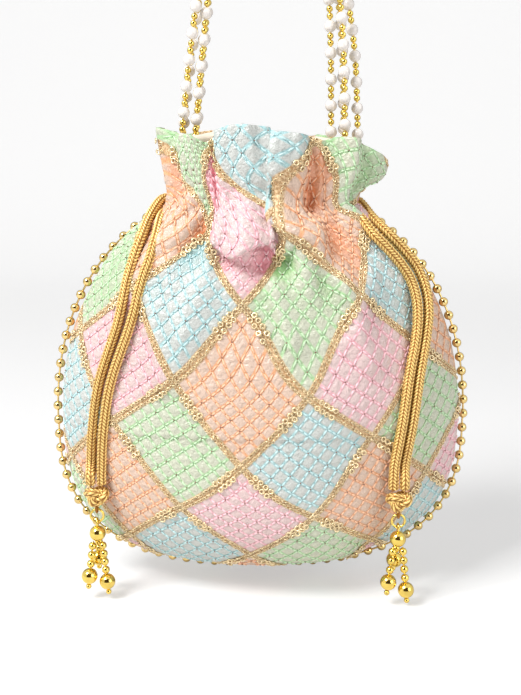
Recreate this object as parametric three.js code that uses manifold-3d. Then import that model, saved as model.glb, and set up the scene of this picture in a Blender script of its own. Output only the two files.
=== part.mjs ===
// A potli: a gathered drawstring pouch of two embroidered cloth panels, with a ruffled mouth, a rim of
// beads, two braided drawcords with bead tassels, and a handle of four bead strands.
// Millimetres, +Z up, front towards -Y. The pouch is modelled with Z = 0 at the lowest point of its
// cloth, and the finished group is lowered so that its origin is the top of the handle.

import * as THREE from 'three';
import { mergeVertices } from 'three/addons/utils/BufferGeometryUtils.js';
import Module from 'manifold-3d';

const wasm = await Module();
wasm.setup();

// Body of the pouch
const BAG_WIDTH = 202;
const BAG_DEPTH = 88;
const WIDEST_Z = 75;
const SHOULDER_RISE = 114;
const DEPTH_RISE = 122;
const BOTTOM_ROUNDNESS = 2.7;
const SHOULDER_ROUNDNESS = 2.2;
const FRONT_ROUNDNESS = 1.44;
const CLOTH_THICKNESS = 1.6;
const SEAM_GAP = 0.3;

// Neck, casing and ruffle
const NECK_WIDTH = 86;
const NECK_DEPTH = 50;
const CASING_Z = 182;
const MOUTH_Z = 219;
const MOUTH_WIDTH = 98;
const MOUTH_DEPTH = 62;
const NECK_BLEND = 7;
const GATHERS_START_Z = 118;
const LOBES = 11;
const LOBE_TURN = 13;
const GATHER_DEPTH = 2.8;
const RUFFLE_DEPTH = 5.2;
const RIGHT_FLARE = 12;
const RIGHT_DROOP = 13;
const POCKET_FOLD = 8;
const SLANTING_FOLD = 7;

// Lining
const LINING_THICKNESS = 1;
const LINING_GAP = 0.6;

// Beads along the seam
const RIM_BEAD = 4.8;
const RIM_PITCH = 7.4;
const RIM_TOP_Z = 177;

// Drawcords
const CORD = 5;
const CORD_CLEARANCE = 0.35;
const PAIR_GAP = 0.4;
const KNOT_WIDTH = 13;
const KNOT_HEIGHT = 10;

// Tassels
const LINK_WIRE = 1.2;
const LINK_WIDTH = 7.6;
const LINK_SLACK = 0.35;
const EYE_WIRE = 1.2;
const EYE_HOLE = 2.7;
const TOP_BEAD = 8;
const END_BEAD = 8;
const SMALL_BEAD = 4;
const TIP_BEAD = 2.8;

// Handle
const PEARL = 5.8;
const GOLD_BEAD = 3.2;
const STRAND_PITCH = 12.4;
const HANDLE_Z = 332;
const STAY_DROP = 19;
const STAY_Z = MOUTH_Z - STAY_DROP;
const STAY_PIN = 2.4;
const STAY_CLEARANCE = 0.4;
const STAY_RING_WIRE = 2.4;
const END_CAP_HEIGHT = 3.2;

const RAD = Math.PI / 180;
const clamp = (x) => Math.min(1, Math.max(0, x));
const smooth = (low, high, x) => {
  const t = clamp((x - low) / (high - low));
  return t * t * (3 - 2 * t);
};
const softMax = (a, b, k) => (a + b + Math.hypot(a - b, k)) / 2;

function material(color, roughness, metalness) {
  return new THREE.MeshStandardMaterial({ color, roughness, metalness });
}
const EMBROIDERED = material(0xe9cdbd, 0.75, 0);
const EMBROIDERED_BACK = material(0xcfe3dc, 0.75, 0);
const SATIN = material(0xf4e8da, 0.5, 0);
const GOLD_CORD = material(0xd6ab48, 0.55, 0.3);
const GOLD_METAL = material(0xe3b94a, 0.2, 1);
const CHAMPAGNE_METAL = material(0xd9bd7c, 0.25, 1);
const PEARLS = material(0xe8e2da, 0.3, 0);

const root = new THREE.Group();
root.position.z = -HANDLE_Z;

function addPart(name, geometry, finish) {
  const mesh = new THREE.Mesh(geometry, finish);
  mesh.name = name;
  root.add(mesh);
  return mesh;
}

// Solids

function geometryFrom(points, triangles) {
  const geometry = new THREE.BufferGeometry();
  const places = points.flatMap((p) => [p.x, p.y, p.z]);
  geometry.setAttribute('position', new THREE.Float32BufferAttribute(places, 3));
  geometry.setIndex(triangles.flat());
  return geometry;
}

// Joins two rows of points, each point with its place along the row, by a strip of triangles.
function zip(low, high, turned) {
  const triangles = [];
  let i = 0;
  let j = 0;
  while (i < low.length - 1 || j < high.length - 1) {
    const lowNext = i < low.length - 1 ? low[i + 1].along : Infinity;
    const highNext = j < high.length - 1 ? high[j + 1].along : Infinity;
    if (lowNext <= highNext) {
      triangles.push([low[i].index, low[i + 1].index, high[j].index]);
      i += 1;
    } else {
      triangles.push([low[i].index, high[j + 1].index, high[j].index]);
      j += 1;
    }
  }
  const real = triangles.filter(([a, b, c]) => a !== b && b !== c && c !== a);
  return turned ? real.map(([a, b, c]) => [a, c, b]) : real;
}

// Numbers the points of one row and adds them to the shared list.
function addRow(points, row) {
  return row.map(({ point, along }) => {
    points.push(point);
    return { index: points.length - 1, along };
  });
}

// A loft through closed rings of points around one path, closed by a fan at each end.
function ringLoft(rings) {
  const points = rings.flat();
  const sides = rings[0].length;
  const triangles = [];
  for (let k = 0; k < rings.length - 1; k += 1) {
    for (let i = 0; i < sides; i += 1) {
      const a = k * sides + i;
      const b = k * sides + ((i + 1) % sides);
      triangles.push([a, b, b + sides], [a, b + sides, a + sides]);
    }
  }
  const last = (rings.length - 1) * sides;
  for (let i = 1; i < sides - 1; i += 1) {
    triangles.push([0, i + 1, i], [last, last + i, last + i + 1]);
  }
  return geometryFrom(points, triangles);
}

// A body of changing radius along a curve: profile gives [distance along, radius] pairs.
function turnedAlong(curve, profile, sides) {
  const length = curve.getLength();
  const steps = 400;
  const frames = curve.computeFrenetFrames(steps, false);
  const rings = profile.map(([distance, radius]) => {
    const share = clamp(distance / length);
    const centre = curve.getPointAt(share);
    const frame = Math.round(share * steps);
    return Array.from({ length: sides }, (unused, i) => {
      const angle = (i / sides) * 2 * Math.PI;
      return centre.clone()
        .addScaledVector(frames.normals[frame], radius * Math.cos(angle))
        .addScaledVector(frames.binormals[frame], radius * Math.sin(angle));
    });
  });
  return ringLoft(rings);
}

function toManifold(geometry) {
  const bare = geometry.clone();
  bare.deleteAttribute('normal');
  bare.deleteAttribute('uv');
  const merged = mergeVertices(bare, 1e-3);
  return new wasm.Manifold(new wasm.Mesh({
    numProp: 3,
    vertProperties: new Float32Array(merged.attributes.position.array),
    triVerts: new Uint32Array(merged.index.array),
  }));
}

function fromManifold(solid) {
  const mesh = solid.getMesh();
  const geometry = new THREE.BufferGeometry();
  geometry.setAttribute('position', new THREE.BufferAttribute(new Float32Array(mesh.vertProperties), 3));
  geometry.setIndex(new THREE.BufferAttribute(new Uint32Array(mesh.triVerts), 1));
  return geometry;
}

const joined = (...geometries) => fromManifold(geometries.map(toManifold).reduce((a, b) => a.add(b)));
const cut = (geometry, tool) => fromManifold(toManifold(geometry).subtract(toManifold(tool)));

// The cloth surface. Theta runs round the pouch: -90 at the left seam, 0 at the front, 90 at the right
// seam, 180 at the back. Level is the height before the mouth's edge is given its droop.

function halfWidth(level) {
  const half = BAG_WIDTH / 2;
  if (level < WIDEST_Z) {
    const drop = (WIDEST_Z - level) / WIDEST_Z;
    return half * (1 - drop ** BOTTOM_ROUNDNESS) ** (1 / BOTTOM_ROUNDNESS);
  }
  const rise = Math.min(1, (level - WIDEST_Z) / SHOULDER_RISE);
  const body = half * (1 - rise ** SHOULDER_ROUNDNESS) ** (1 / SHOULDER_ROUNDNESS);
  const flare = (MOUTH_WIDTH - NECK_WIDTH) / 2 * smooth(CASING_Z, MOUTH_Z, level);
  return softMax(body, NECK_WIDTH / 2 + flare, NECK_BLEND);
}

function halfDepth(level) {
  const half = BAG_DEPTH / 2;
  if (level < WIDEST_Z) {
    const drop = (WIDEST_Z - level) / WIDEST_Z;
    return half * (1 - drop ** BOTTOM_ROUNDNESS) ** (1 / BOTTOM_ROUNDNESS);
  }
  const rise = Math.min(1, (level - WIDEST_Z) / DEPTH_RISE);
  const body = half * (1 - rise ** SHOULDER_ROUNDNESS) ** (1 / SHOULDER_ROUNDNESS);
  const flare = (MOUTH_DEPTH - NECK_DEPTH) / 2 * smooth(CASING_Z, MOUTH_Z, level);
  return softMax(body, NECK_DEPTH / 2 + flare, NECK_BLEND);
}

// The gathers: deepest at the front and back, shallow at the side seams.
function gather(theta, level) {
  const depth = GATHER_DEPTH * smooth(GATHERS_START_Z, CASING_Z - 8, level)
    + (RUFFLE_DEPTH - GATHER_DEPTH) * smooth(CASING_Z, MOUTH_Z, level);
  const sideFade = 0.3 + 0.7 * Math.cos(theta * RAD) ** 2;
  const lobes = Math.cos(LOBES * (theta + LOBE_TURN) * RAD);
  const creases = 0.3 * Math.cos((2 * LOBES - 3) * theta * RAD + 1);
  return depth * sideFade * (lobes + creases);
}

function rightSide(theta) {
  return Math.max(0, Math.sin(theta * RAD)) ** 4;
}

function clothPoint(theta, level, inset, flat = 0) {
  const sine = Math.sin(theta * RAD);
  const cosine = Math.cos(theta * RAD);
  const fold = gather(theta, level) * (1 - flat);
  const wide = halfWidth(level) * (1 - flat) + halfWidth(CASING_Z) * flat;
  const deep = halfDepth(level) * (1 - flat) + halfDepth(CASING_Z) * flat;
  const flare = RIGHT_FLARE * smooth(CASING_Z + 2, MOUTH_Z - 16, level) * rightSide(theta) * (1 - flat);
  const roundness = FRONT_ROUNDNESS + (1 - FRONT_ROUNDNESS) * smooth(GATHERS_START_Z, CASING_Z - 8, level);
  const x = (wide - inset + fold + flare) * sine;
  const depth = Math.max(0, deep - inset) * Math.abs(cosine) ** roundness;
  const y = depth + fold * Math.abs(cosine);
  const lift = inset * Math.max(0, WIDEST_Z - level) / WIDEST_Z;
  const share = smooth(CASING_Z + 6, MOUTH_Z, level);
  const edge = 2 * Math.cos(5 * theta * RAD + 1) - RIGHT_DROOP * rightSide(theta);
  return new THREE.Vector3(x, -Math.sign(cosine) * y, level + lift + share * edge);
}

// The two large folds of the front, as a height off the cloth: a pocket that hangs over just below the
// casing, and a fold that runs from it down to the right.
function frontFolds(x, z) {
  const below = CASING_Z - z;
  const lip = 21 - 4 * Math.cos((x + 12) * 0.17);
  const over = smooth(-8, 12, below) * (1 - smooth(lip - 4, lip + 4, below));
  const pocket = Math.exp(-(((x + 5) / 14) ** 2)) * over;
  const aside = 0.7 * (x - 2) - 0.72 * (below - 6);
  const along = 0.72 * (x - 2) + 0.7 * (below - 6);
  const held = smooth(-12, 6, along) * (1 - smooth(44, 62, along));
  const slanting = Math.exp(-((aside / 6.5) ** 2)) * held;
  return POCKET_FOLD * pocket + SLANTING_FOLD * slanting;
}

// How far in front of the seam plane a ball lies that rests against the front at a place seen from the
// front.
function restingDepth(x, z, radius) {
  let depth = 0;
  for (let level = Math.max(1, z - radius); level <= z + radius; level += 1.2) {
    for (let theta = -90; theta <= 90; theta += 1.5) {
      const cloth = clothPoint(theta, level, 0);
      const away = Math.hypot(cloth.x - x, cloth.z - z);
      if (away < radius) depth = Math.max(depth, Math.sqrt(radius ** 2 - away ** 2) - cloth.y);
    }
  }
  return depth;
}

// Outer panels: front and back are one cut of cloth each, sewn together along the rim.

const BOTTOM_LEVELS = [0.4, 3, 9, 22, 48, 88];
const GATHERED_LEVELS = [118, 140, 157, 169, 177, 184, 191, 197, 207, MOUTH_Z];
const PLAIN_COLUMNS = 12;
const GATHERED_COLUMNS = 24;
const KEEL = 1.9;

function sectionRow(level, columns, from, inset, flat = 0) {
  const first = level === BOTTOM_LEVELS[0];
  return Array.from({ length: columns + 1 }, (unused, i) => {
    const along = i / columns;
    const point = clothPoint(from + 180 * along, level, inset, flat);
    if (first) {
      const keel = Math.max(0.1, KEEL - inset);
      point.y = Math.sign(point.y) * Math.min(Math.abs(point.y), keel);
    }
    return { point, along };
  });
}

function panel(from) {
  const points = [];
  const away = from === -90 ? -SEAM_GAP / 2 : SEAM_GAP / 2;
  const levels = [
    ...BOTTOM_LEVELS.map((level) => [level, PLAIN_COLUMNS]),
    ...GATHERED_LEVELS.map((level) => [level, GATHERED_COLUMNS]),
  ];
  const face = (inset) => levels.map(([level, columns]) => {
    const row = sectionRow(level, columns, from, inset);
    row.forEach(({ point }) => {
      point.y += away;
      if (from === -90 && columns === GATHERED_COLUMNS) point.y -= frontFolds(point.x, point.z);
    });
    return addRow(points, row);
  });
  const outside = face(0);
  const inside = face(CLOTH_THICKNESS);
  const triangles = [];
  for (let k = 0; k < levels.length - 1; k += 1) {
    const [low, high] = [outside[k], outside[k + 1]];
    const [lowIn, highIn] = [inside[k], inside[k + 1]];
    triangles.push(...zip(low, high, false), ...zip(lowIn, highIn, true));
    triangles.push([lowIn[0].index, low[0].index, high[0].index]);
    triangles.push([lowIn[0].index, high[0].index, highIn[0].index]);
    const [a, b] = [low.at(-1).index, high.at(-1).index];
    const [c, d] = [lowIn.at(-1).index, highIn.at(-1).index];
    triangles.push([a, c, d], [a, d, b]);
  }
  triangles.push(...zip(inside[0], outside[0], false));
  triangles.push(...zip(outside.at(-1), inside.at(-1), false));
  return geometryFrom(points, triangles);
}

// The slit in each side seam where the drawcords leave the casing.
function cordSlit(side) {
  const slit = new THREE.CylinderGeometry(CORD / 2 + 0.6, CORD / 2 + 0.6, 30, 10);
  slit.rotateZ(Math.PI / 2);
  slit.scale(1, 1, 2);
  slit.translate(side * (NECK_WIDTH / 2 + 4), 0, CASING_Z);
  return slit;
}

function slitPanel(from) {
  return cut(cut(panel(from), cordSlit(-1)), cordSlit(1));
}
addPart('front_panel', slitPanel(-90), EMBROIDERED);
addPart('back_panel', slitPanel(90), EMBROIDERED_BACK);

// Lining: one closed bag of satin inside the panels, standing off at the casing to leave the drawcords
// their channel.

const LINING_LEVELS = [
  [0.4, 12], [9, 12], [22, 12], [48, 12], [88, 12], [140, 24], [157, 48],
  [CASING_Z - 9, 48], [CASING_Z + 8, 48], [197, 48], [207, 48], [MOUTH_Z, 48],
];
const DEEPEST_FOLD = 1.3 * GATHER_DEPTH;
const CHANNEL = DEEPEST_FOLD + CORD + 3 * CORD_CLEARANCE;

function casing(level) {
  return smooth(CASING_Z - 16, CASING_Z - 9, level) * (1 - smooth(CASING_Z + 8, CASING_Z + 15, level));
}

function lining() {
  const points = [];
  const face = (inset) => LINING_LEVELS.map(([level, columns]) => {
    const held = casing(level);
    const row = Array.from({ length: columns }, (unused, i) => {
      const along = i / columns;
      const point = clothPoint(-90 + 360 * along, level, inset + held * CHANNEL, held);
      if (level === LINING_LEVELS[0][0]) {
        point.y = Math.sign(point.y) * Math.min(Math.abs(point.y), 0.3);
      }
      return { point, along };
    });
    const added = addRow(points, row);
    return [...added, { index: added[0].index, along: 1 }];
  });
  const outside = face(CLOTH_THICKNESS + LINING_GAP);
  const inside = face(CLOTH_THICKNESS + LINING_GAP + LINING_THICKNESS);
  const triangles = [];
  for (let k = 0; k < LINING_LEVELS.length - 1; k += 1) {
    triangles.push(...zip(outside[k], outside[k + 1], false), ...zip(inside[k], inside[k + 1], true));
  }
  triangles.push(...zip(outside.at(-1), inside.at(-1), false));
  triangles.push(...floor(outside[0], true), ...floor(inside[0], false));
  return geometryFrom(points, triangles);
}

// Closes the flat bottom of the lining between its front half and its back half.
function floor(loop, turned) {
  const half = (loop.length - 1) / 2;
  const front = loop.slice(0, half + 1).map(({ index }, i) => ({ index, along: i }));
  const back = loop.slice(half).reverse().map(({ index }, i) => ({ index, along: i }));
  return zip(front, back, turned);
}
addPart('lining', lining(), SATIN);

// Beads sewn along the rim seam, fused on their thread.

function rimCurve() {
  const levels = [...BOTTOM_LEVELS, ...GATHERED_LEVELS].filter((level) => level <= RIM_TOP_Z);
  const right = levels.map((level) => clothPoint(90, level, 0)).map(({ x, z }) => [x, z]);
  const left = right.map(([x, z]) => [-x, z]).reverse();
  const seam = [...left, ...right];
  const halves = seam.flatMap(([x, z], i) => {
    if (i === 0) return [[x, z]];
    return [[(x + seam[i - 1][0]) / 2, (z + seam[i - 1][1]) / 2], [x, z]];
  });
  const out = RIM_BEAD / 2 + SEAM_GAP;
  return new THREE.CatmullRomCurve3(halves.map(([x, z], i) => {
    const before = halves[Math.max(0, i - 1)];
    const after = halves[Math.min(halves.length - 1, i + 1)];
    const run = [after[0] - before[0], after[1] - before[1]];
    const share = out / Math.hypot(...run);
    return new THREE.Vector3(x + run[1] * share, 0, z - run[0] * share);
  }));
}

function beadProfile(length, pitch, bead) {
  const count = Math.floor(length / pitch);
  const spare = (length - count * pitch) / 2;
  const profile = [];
  for (let i = 0; i < count; i += 1) {
    bead.forEach(([offset, radius]) => profile.push([spare + (i + offset) * pitch, radius]));
  }
  return profile;
}

function rimBeads() {
  const curve = rimCurve();
  curve.arcLengthDivisions = 2000;
  const reach = RIM_BEAD * 0.52 / RIM_PITCH;
  const bead = [[0.5 - reach, 0.7], [0.5, RIM_BEAD / 2], [0.5 + reach, 0.7]];
  return turnedAlong(curve, beadProfile(curve.getLength(), RIM_PITCH, bead), 4);
}
addPart('rim_beads', rimBeads(), CHAMPAGNE_METAL);

// Drawcords: each cord is threaded round the casing from its own side, and both its ends hang there.

const CORD_SIDES = 8;

function cordSection() {
  const section = new THREE.Shape();
  for (let i = 0; i < CORD_SIDES; i += 1) {
    const angle = (i / CORD_SIDES) * 2 * Math.PI;
    const corner = [CORD / 2 * Math.cos(angle), CORD / 2 * Math.sin(angle)];
    if (i === 0) section.moveTo(...corner);
    else section.lineTo(...corner);
  }
  section.closePath();
  return section;
}

function cordAlong(points, steps) {
  const path = new THREE.CatmullRomCurve3(points.map(([x, y, z]) => new THREE.Vector3(x, y, z)));
  return new THREE.ExtrudeGeometry(cordSection(), { steps, extrudePath: path });
}

// Each hanging run, from the casing down to the knot: how far out each place lies as a share of the half
// width there, how high as a share of the way from the knot to the casing, and its lift off the cloth.
const HANGING_RUNS = {
  left_cord_outer: [
    [-1.094, 1.032, 0], [-1.124, 0.986, 4], [-0.906, 0.9, 4.6], [-0.798, 0.771, 1], [-0.755, 0.621, 0],
    [-0.799, 0.414, 0], [-0.83, 0.236, 0], [-0.852, 0.114, 0],
  ],
  left_cord_inner: [
    [-0.993, 0.983, 0], [-0.877, 0.943, 0.4], [-0.747, 0.864, 0.4], [-0.703, 0.757, 0],
    [-0.684, 0.621, 0], [-0.738, 0.414, 0], [-0.772, 0.236, 0], [-0.793, 0.114, 0],
  ],
  right_cord_outer: [
    [1.092, 1.025, 0], [1.058, 0.95, 4.6], [1.011, 0.871, 5], [0.993, 0.786, 4.4], [0.942, 0.686, 4],
    [0.872, 0.579, 2], [0.794, 0.443, 1], [0.747, 0.286, 0.6], [0.715, 0.129, 0],
  ],
  right_cord_inner: [
    [0.966, 0.976, 0.8], [0.842, 0.907, 1.4], [0.858, 0.843, 0.6], [0.874, 0.771, 0],
    [0.862, 0.679, 0], [0.808, 0.571, 0], [0.732, 0.443, 0], [0.682, 0.286, 0], [0.656, 0.129, 0],
  ],
};
const KNOT_Z = 0.56 * WIDEST_Z;
const KNOTS = {
  left: { x: -0.837 * halfWidth(KNOT_Z), z: KNOT_Z },
  right: { x: 0.695 * halfWidth(KNOT_Z), z: KNOT_Z },
};
const RUN_POINTS = 15;

function runPoints(name, knot) {
  const run = new THREE.CatmullRomCurve3(HANGING_RUNS[name].map(([across, up, lift]) => {
    const z = KNOT_Z + up * (CASING_Z - KNOT_Z);
    return new THREE.Vector3(across * halfWidth(z), z, lift);
  }));
  const points = run.getSpacedPoints(RUN_POINTS).map((place, i) => {
    const rest = restingDepth(place.x, place.y, CORD / 2 + CORD_CLEARANCE) + place.z;
    return [place.x, -Math.max(i === 0 ? 2.6 : 0, rest), place.y];
  });
  const away = Math.sign(knot.x) * (name.endsWith('outer') ? 1 : -1);
  const x = knot.x + away * (CORD + PAIR_GAP) / 2;
  const top = knot.z + KNOT_HEIGHT / 2 + CORD_CLEARANCE;
  return [...points, [x, knot.y, top + 5], [x, knot.y, top]];
}

// A knot of two cords, with the bulges of its turns, and a thread eye below.
function knotGeometry(knot) {
  const turns = [
    [-0.5, 0], [-0.47, 0.26], [-0.3, 0.46], [-0.12, 0.38], [0.08, 0.5], [0.26, 0.4], [0.42, 0.44], [0.5, 0],
  ];
  const profile = turns.map(([z, r]) => new THREE.Vector2(r * KNOT_WIDTH, z * KNOT_HEIGHT));
  const body = new THREE.LatheGeometry(profile, 9);
  body.rotateX(Math.PI / 2);
  const geometry = joined(body, eye(-KNOT_HEIGHT / 2 - EYE_HOLE / 2 - 0.1));
  geometry.translate(knot.x, knot.y, knot.z);
  return geometry;
}

// A thread or wire eye in the plane across the link.
function eye(z) {
  const ring = new THREE.TorusGeometry((EYE_HOLE + EYE_WIRE) / 2, EYE_WIRE / 2, 4, 8);
  ring.rotateY(Math.PI / 2);
  ring.translate(0, 0, z);
  return ring;
}

// The channel run of each cord, all the way round inside the casing.
function channelRun(side) {
  const z = CASING_Z - side * (CORD + PAIR_GAP) / 2;
  const inset = DEEPEST_FOLD + CLOTH_THICKNESS + CORD_CLEARANCE + CORD / 2;
  const reach = halfWidth(CASING_Z) - inset;
  const depth = halfDepth(CASING_Z) - inset;
  const open = 16;
  const steps = 16;
  const points = Array.from({ length: steps + 1 }, (unused, i) => {
    const turn = (open + (360 - 2 * open) * i / steps) * RAD;
    return [side * reach * Math.cos(turn), -depth * Math.sin(turn), z];
  });
  return cordAlong(points, steps);
}

Object.entries(KNOTS).forEach(([side, knot]) => {
  knot.y = -restingDepth(knot.x, knot.z, KNOT_WIDTH / 2 + CORD_CLEARANCE);
  ['outer', 'inner'].forEach((run) => {
    const name = `${side}_cord_${run}`;
    addPart(name, cordAlong(runPoints(name, knot), 11), GOLD_CORD);
  });
  addPart(`${side}_knot`, knotGeometry(knot), GOLD_CORD);
  addPart(`${side}_cord_in_casing`, channelRun(Math.sign(knot.x)), GOLD_CORD);
});

// Tassels: a link in the knot's eye, a top bead on the link, and three short strings of beads.

// Where each string leaves the top bead, and the middle of its end bead, in top beads and end beads.
const STRING_STARTS = [[-0.29, -0.1, -0.5], [0.29, -0.1, -0.5], [0, 0.375, -0.45]];
const STRING_ENDS = {
  left: [[-0.55, -0.15, -2.75], [0.55, -0.15, -3.1], [-0.08, 0.78, -1.9]],
  right: [[-0.55, -0.15, -2.75], [0.55, -0.15, -3.25], [-0.08, 0.78, -1.65]],
};

function beadString(from, to) {
  const direction = to.clone().sub(from).normalize();
  const end = to.clone().addScaledVector(direction, END_BEAD / 2 + TIP_BEAD * 1.1);
  const curve = new THREE.LineCurve3(from, end);
  const length = from.distanceTo(to);
  const room = length - END_BEAD / 2;
  const count = Math.max(1, Math.floor(room / SMALL_BEAD));
  const pitch = room / count;
  const profile = [[0, 0.5]];
  for (let i = 0; i < count; i += 1) {
    profile.push([(i + 0.5) * pitch, SMALL_BEAD / 2], [(i + 1) * pitch, 0.9]);
  }
  const half = END_BEAD / 2;
  profile.push([length - half * 0.45, half * 0.88], [length + half * 0.45, half * 0.88]);
  profile.push([length + half, 0.8], [length + half + TIP_BEAD / 2, TIP_BEAD / 2]);
  profile.push([length + half + TIP_BEAD, 0.5]);
  return turnedAlong(curve, profile, 5);
}

function addTassel(side, knot) {
  const linkRadius = (LINK_WIDTH - LINK_WIRE) / 2;
  const hang = (EYE_HOLE - LINK_WIRE) / 2 - LINK_SLACK;
  const knotEye = knot.z - KNOT_HEIGHT / 2 - EYE_HOLE / 2 - 0.1;
  const linkTop = knotEye - hang;
  const link = new THREE.TorusGeometry(linkRadius, LINK_WIRE / 2, 4, 10);
  link.rotateX(Math.PI / 2);
  link.translate(knot.x, knot.y, linkTop - linkRadius);
  addPart(`${side}_link`, link, GOLD_METAL);
  const linkBottom = linkTop - 2 * linkRadius;
  const beadTop = linkBottom - hang - (EYE_HOLE + EYE_WIRE) / 2 + 0.3;
  const bead = new THREE.SphereGeometry(TOP_BEAD / 2, 7, 5);
  bead.rotateX(Math.PI / 2);
  bead.translate(0, 0, beadTop - TOP_BEAD / 2);
  const top = joined(bead, eye(linkBottom - hang));
  top.translate(knot.x, knot.y, 0);
  addPart(`${side}_tassel_top`, top, GOLD_METAL);
  const centre = new THREE.Vector3(knot.x, knot.y, beadTop - TOP_BEAD / 2);
  STRING_ENDS[side].forEach((end, i) => {
    const to = new THREE.Vector3(...end).multiplyScalar(END_BEAD).add(centre);
    const from = new THREE.Vector3(...STRING_STARTS[i]).multiplyScalar(TOP_BEAD).add(centre);
    addPart(`${side}_bead_string_${i + 1}`, beadString(from, to), GOLD_METAL);
  });
}
Object.entries(KNOTS).forEach(([side, knot]) => addTassel(side, knot));

// Handle: four strands of pearls and gold beads, gathered at each end under a cap whose ring turns on
// a stay sewn inside the mouth.

const PACKING = PEARL / 2 + 0.3;
const LINED_WALL = CLOTH_THICKNESS + LINING_GAP + LINING_THICKNESS;

// How far out the lining lies beside the lower edge of the stay, on the side seam.
function mouthWall(side) {
  const seam = LINING_LEVELS.map(([level]) => clothPoint(side * 90, level, LINED_WALL));
  const low = STAY_Z - STAY_PIN / 2;
  const above = seam.findIndex(({ z }) => z >= low);
  const [a, b] = [seam[above - 1], seam[above]];
  return a.x + (b.x - a.x) * (low - a.z) / (b.z - a.z);
}
const HANDLE_ENDS = {
  left: { x: mouthWall(-1) + 5.6, capX: 2.03 * PACKING, capY: 2.03 * PACKING },
  right: { x: mouthWall(1) - 16.9, capX: 3.12 * PACKING, capY: 2.3 * PACKING },
};
const RING_RADIUS = STAY_PIN / 2 + STAY_CLEARANCE + STAY_RING_WIRE / 2;
const CAP_Z = STAY_Z + RING_RADIUS + STAY_RING_WIRE / 2 + END_CAP_HEIGHT - 0.8;
const STRAND_Z = CAP_Z + SEAM_GAP;

// Each strand's place in the bundle at its left end, at the top of the arch and at its right end, in
// packing distances.
const STRANDS = [
  { left: [1, -1], top: -1, right: [-2, 0] },
  { left: [-1, -1], top: -3, right: [0, -1.25] },
  { left: [-1, 1], top: 3, right: [2, 0] },
  { left: [1, 1], top: 1, right: [0, 1.25] },
];
const TOP_SPREAD = 1.03 * PACKING;

// How far the bundle at each end has leant in at shares of the way up to the top of the arch.
const LEFT_LEAN = [[0, 0], [0.17, 2], [0.42, 5.5], [0.65, 10], [0.85, 21]];
const RIGHT_LEAN = [[0, 0], [0.17, -0.4], [0.42, -1.6], [0.65, -5], [0.85, -15]];
const TOP_X = 4;

function strandSide(leans, end, place, top) {
  const rise = HANDLE_Z - PEARL / 2 - STRAND_Z;
  const [x, y] = place.map((packings) => packings * PACKING);
  return leans.map(([up, lean], i) => {
    const spread = smooth(1, leans.length, i);
    return [end.x + lean + x * (1 - 0.6 * spread), y + (top - y) * spread, STRAND_Z + up * rise];
  });
}

function strandCurve({ left, top, right }) {
  const topY = top * TOP_SPREAD;
  const points = [
    ...strandSide(LEFT_LEAN, HANDLE_ENDS.left, left, topY),
    [TOP_X, topY, HANDLE_Z - PEARL / 2],
    ...strandSide(RIGHT_LEAN, HANDLE_ENDS.right, right, topY).reverse(),
  ];
  return new THREE.CatmullRomCurve3(points.map((place) => new THREE.Vector3(...place)));
}

function pearlStrand(strand) {
  const curve = strandCurve(strand);
  curve.arcLengthDivisions = 1000;
  const pearl = PEARL / STRAND_PITCH;
  const unit = [[0.02, 0.7], [pearl / 2, PEARL / 2], [pearl, 0.8], [(1 + pearl) / 2, GOLD_BEAD / 2]];
  const length = curve.getLength();
  return turnedAlong(curve, [[0, 0.7], ...beadProfile(length, STRAND_PITCH, unit), [length, 0.7]], 4);
}
STRANDS.forEach((strand, i) => addPart(`pearl_strand_${i + 1}`, pearlStrand(strand), PEARLS));

function handleEnd({ x, capX, capY }) {
  const ring = new THREE.TorusGeometry(RING_RADIUS, STAY_RING_WIRE / 2, 4, 9);
  ring.rotateY(Math.PI / 2);
  ring.translate(x, 0, STAY_Z);
  const cap = new THREE.CylinderGeometry(1, 0.72, END_CAP_HEIGHT, 10);
  cap.rotateX(Math.PI / 2);
  cap.scale(capX, capY, 1);
  cap.translate(x, 0, CAP_Z - END_CAP_HEIGHT / 2);
  return joined(ring, cap);
}

// The stay is a short sewn bar that reaches in from the lining at the side seam.
function stay(side, x) {
  const outer = Math.abs(mouthWall(side)) - STAY_PIN / 2;
  const inner = Math.abs(x) - STAY_RING_WIRE / 2 - 2.5;
  const bar = new THREE.CylinderGeometry(STAY_PIN / 2, STAY_PIN / 2, outer - inner, 8);
  bar.rotateZ(Math.PI / 2);
  bar.translate(side * (outer + inner) / 2, 0, STAY_Z);
  return bar;
}
addPart('left_handle_end', handleEnd(HANDLE_ENDS.left), SATIN);
addPart('right_handle_end', handleEnd(HANDLE_ENDS.right), SATIN);
addPart('left_stay', stay(-1, HANDLE_ENDS.left.x), SATIN);
addPart('right_stay', stay(1, HANDLE_ENDS.right.x), SATIN);

export default root;
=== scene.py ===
"""Dresses the potli bag: embroidered cloth, gold trim, braided drawcords, bead tassels and a pearl handle.

Sizes are in millimetres, and the bag is worked out with Z = 0 at the lowest point of its cloth, front
towards -Y. Finished pieces are set into the frame in metres.
"""

import math

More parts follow.
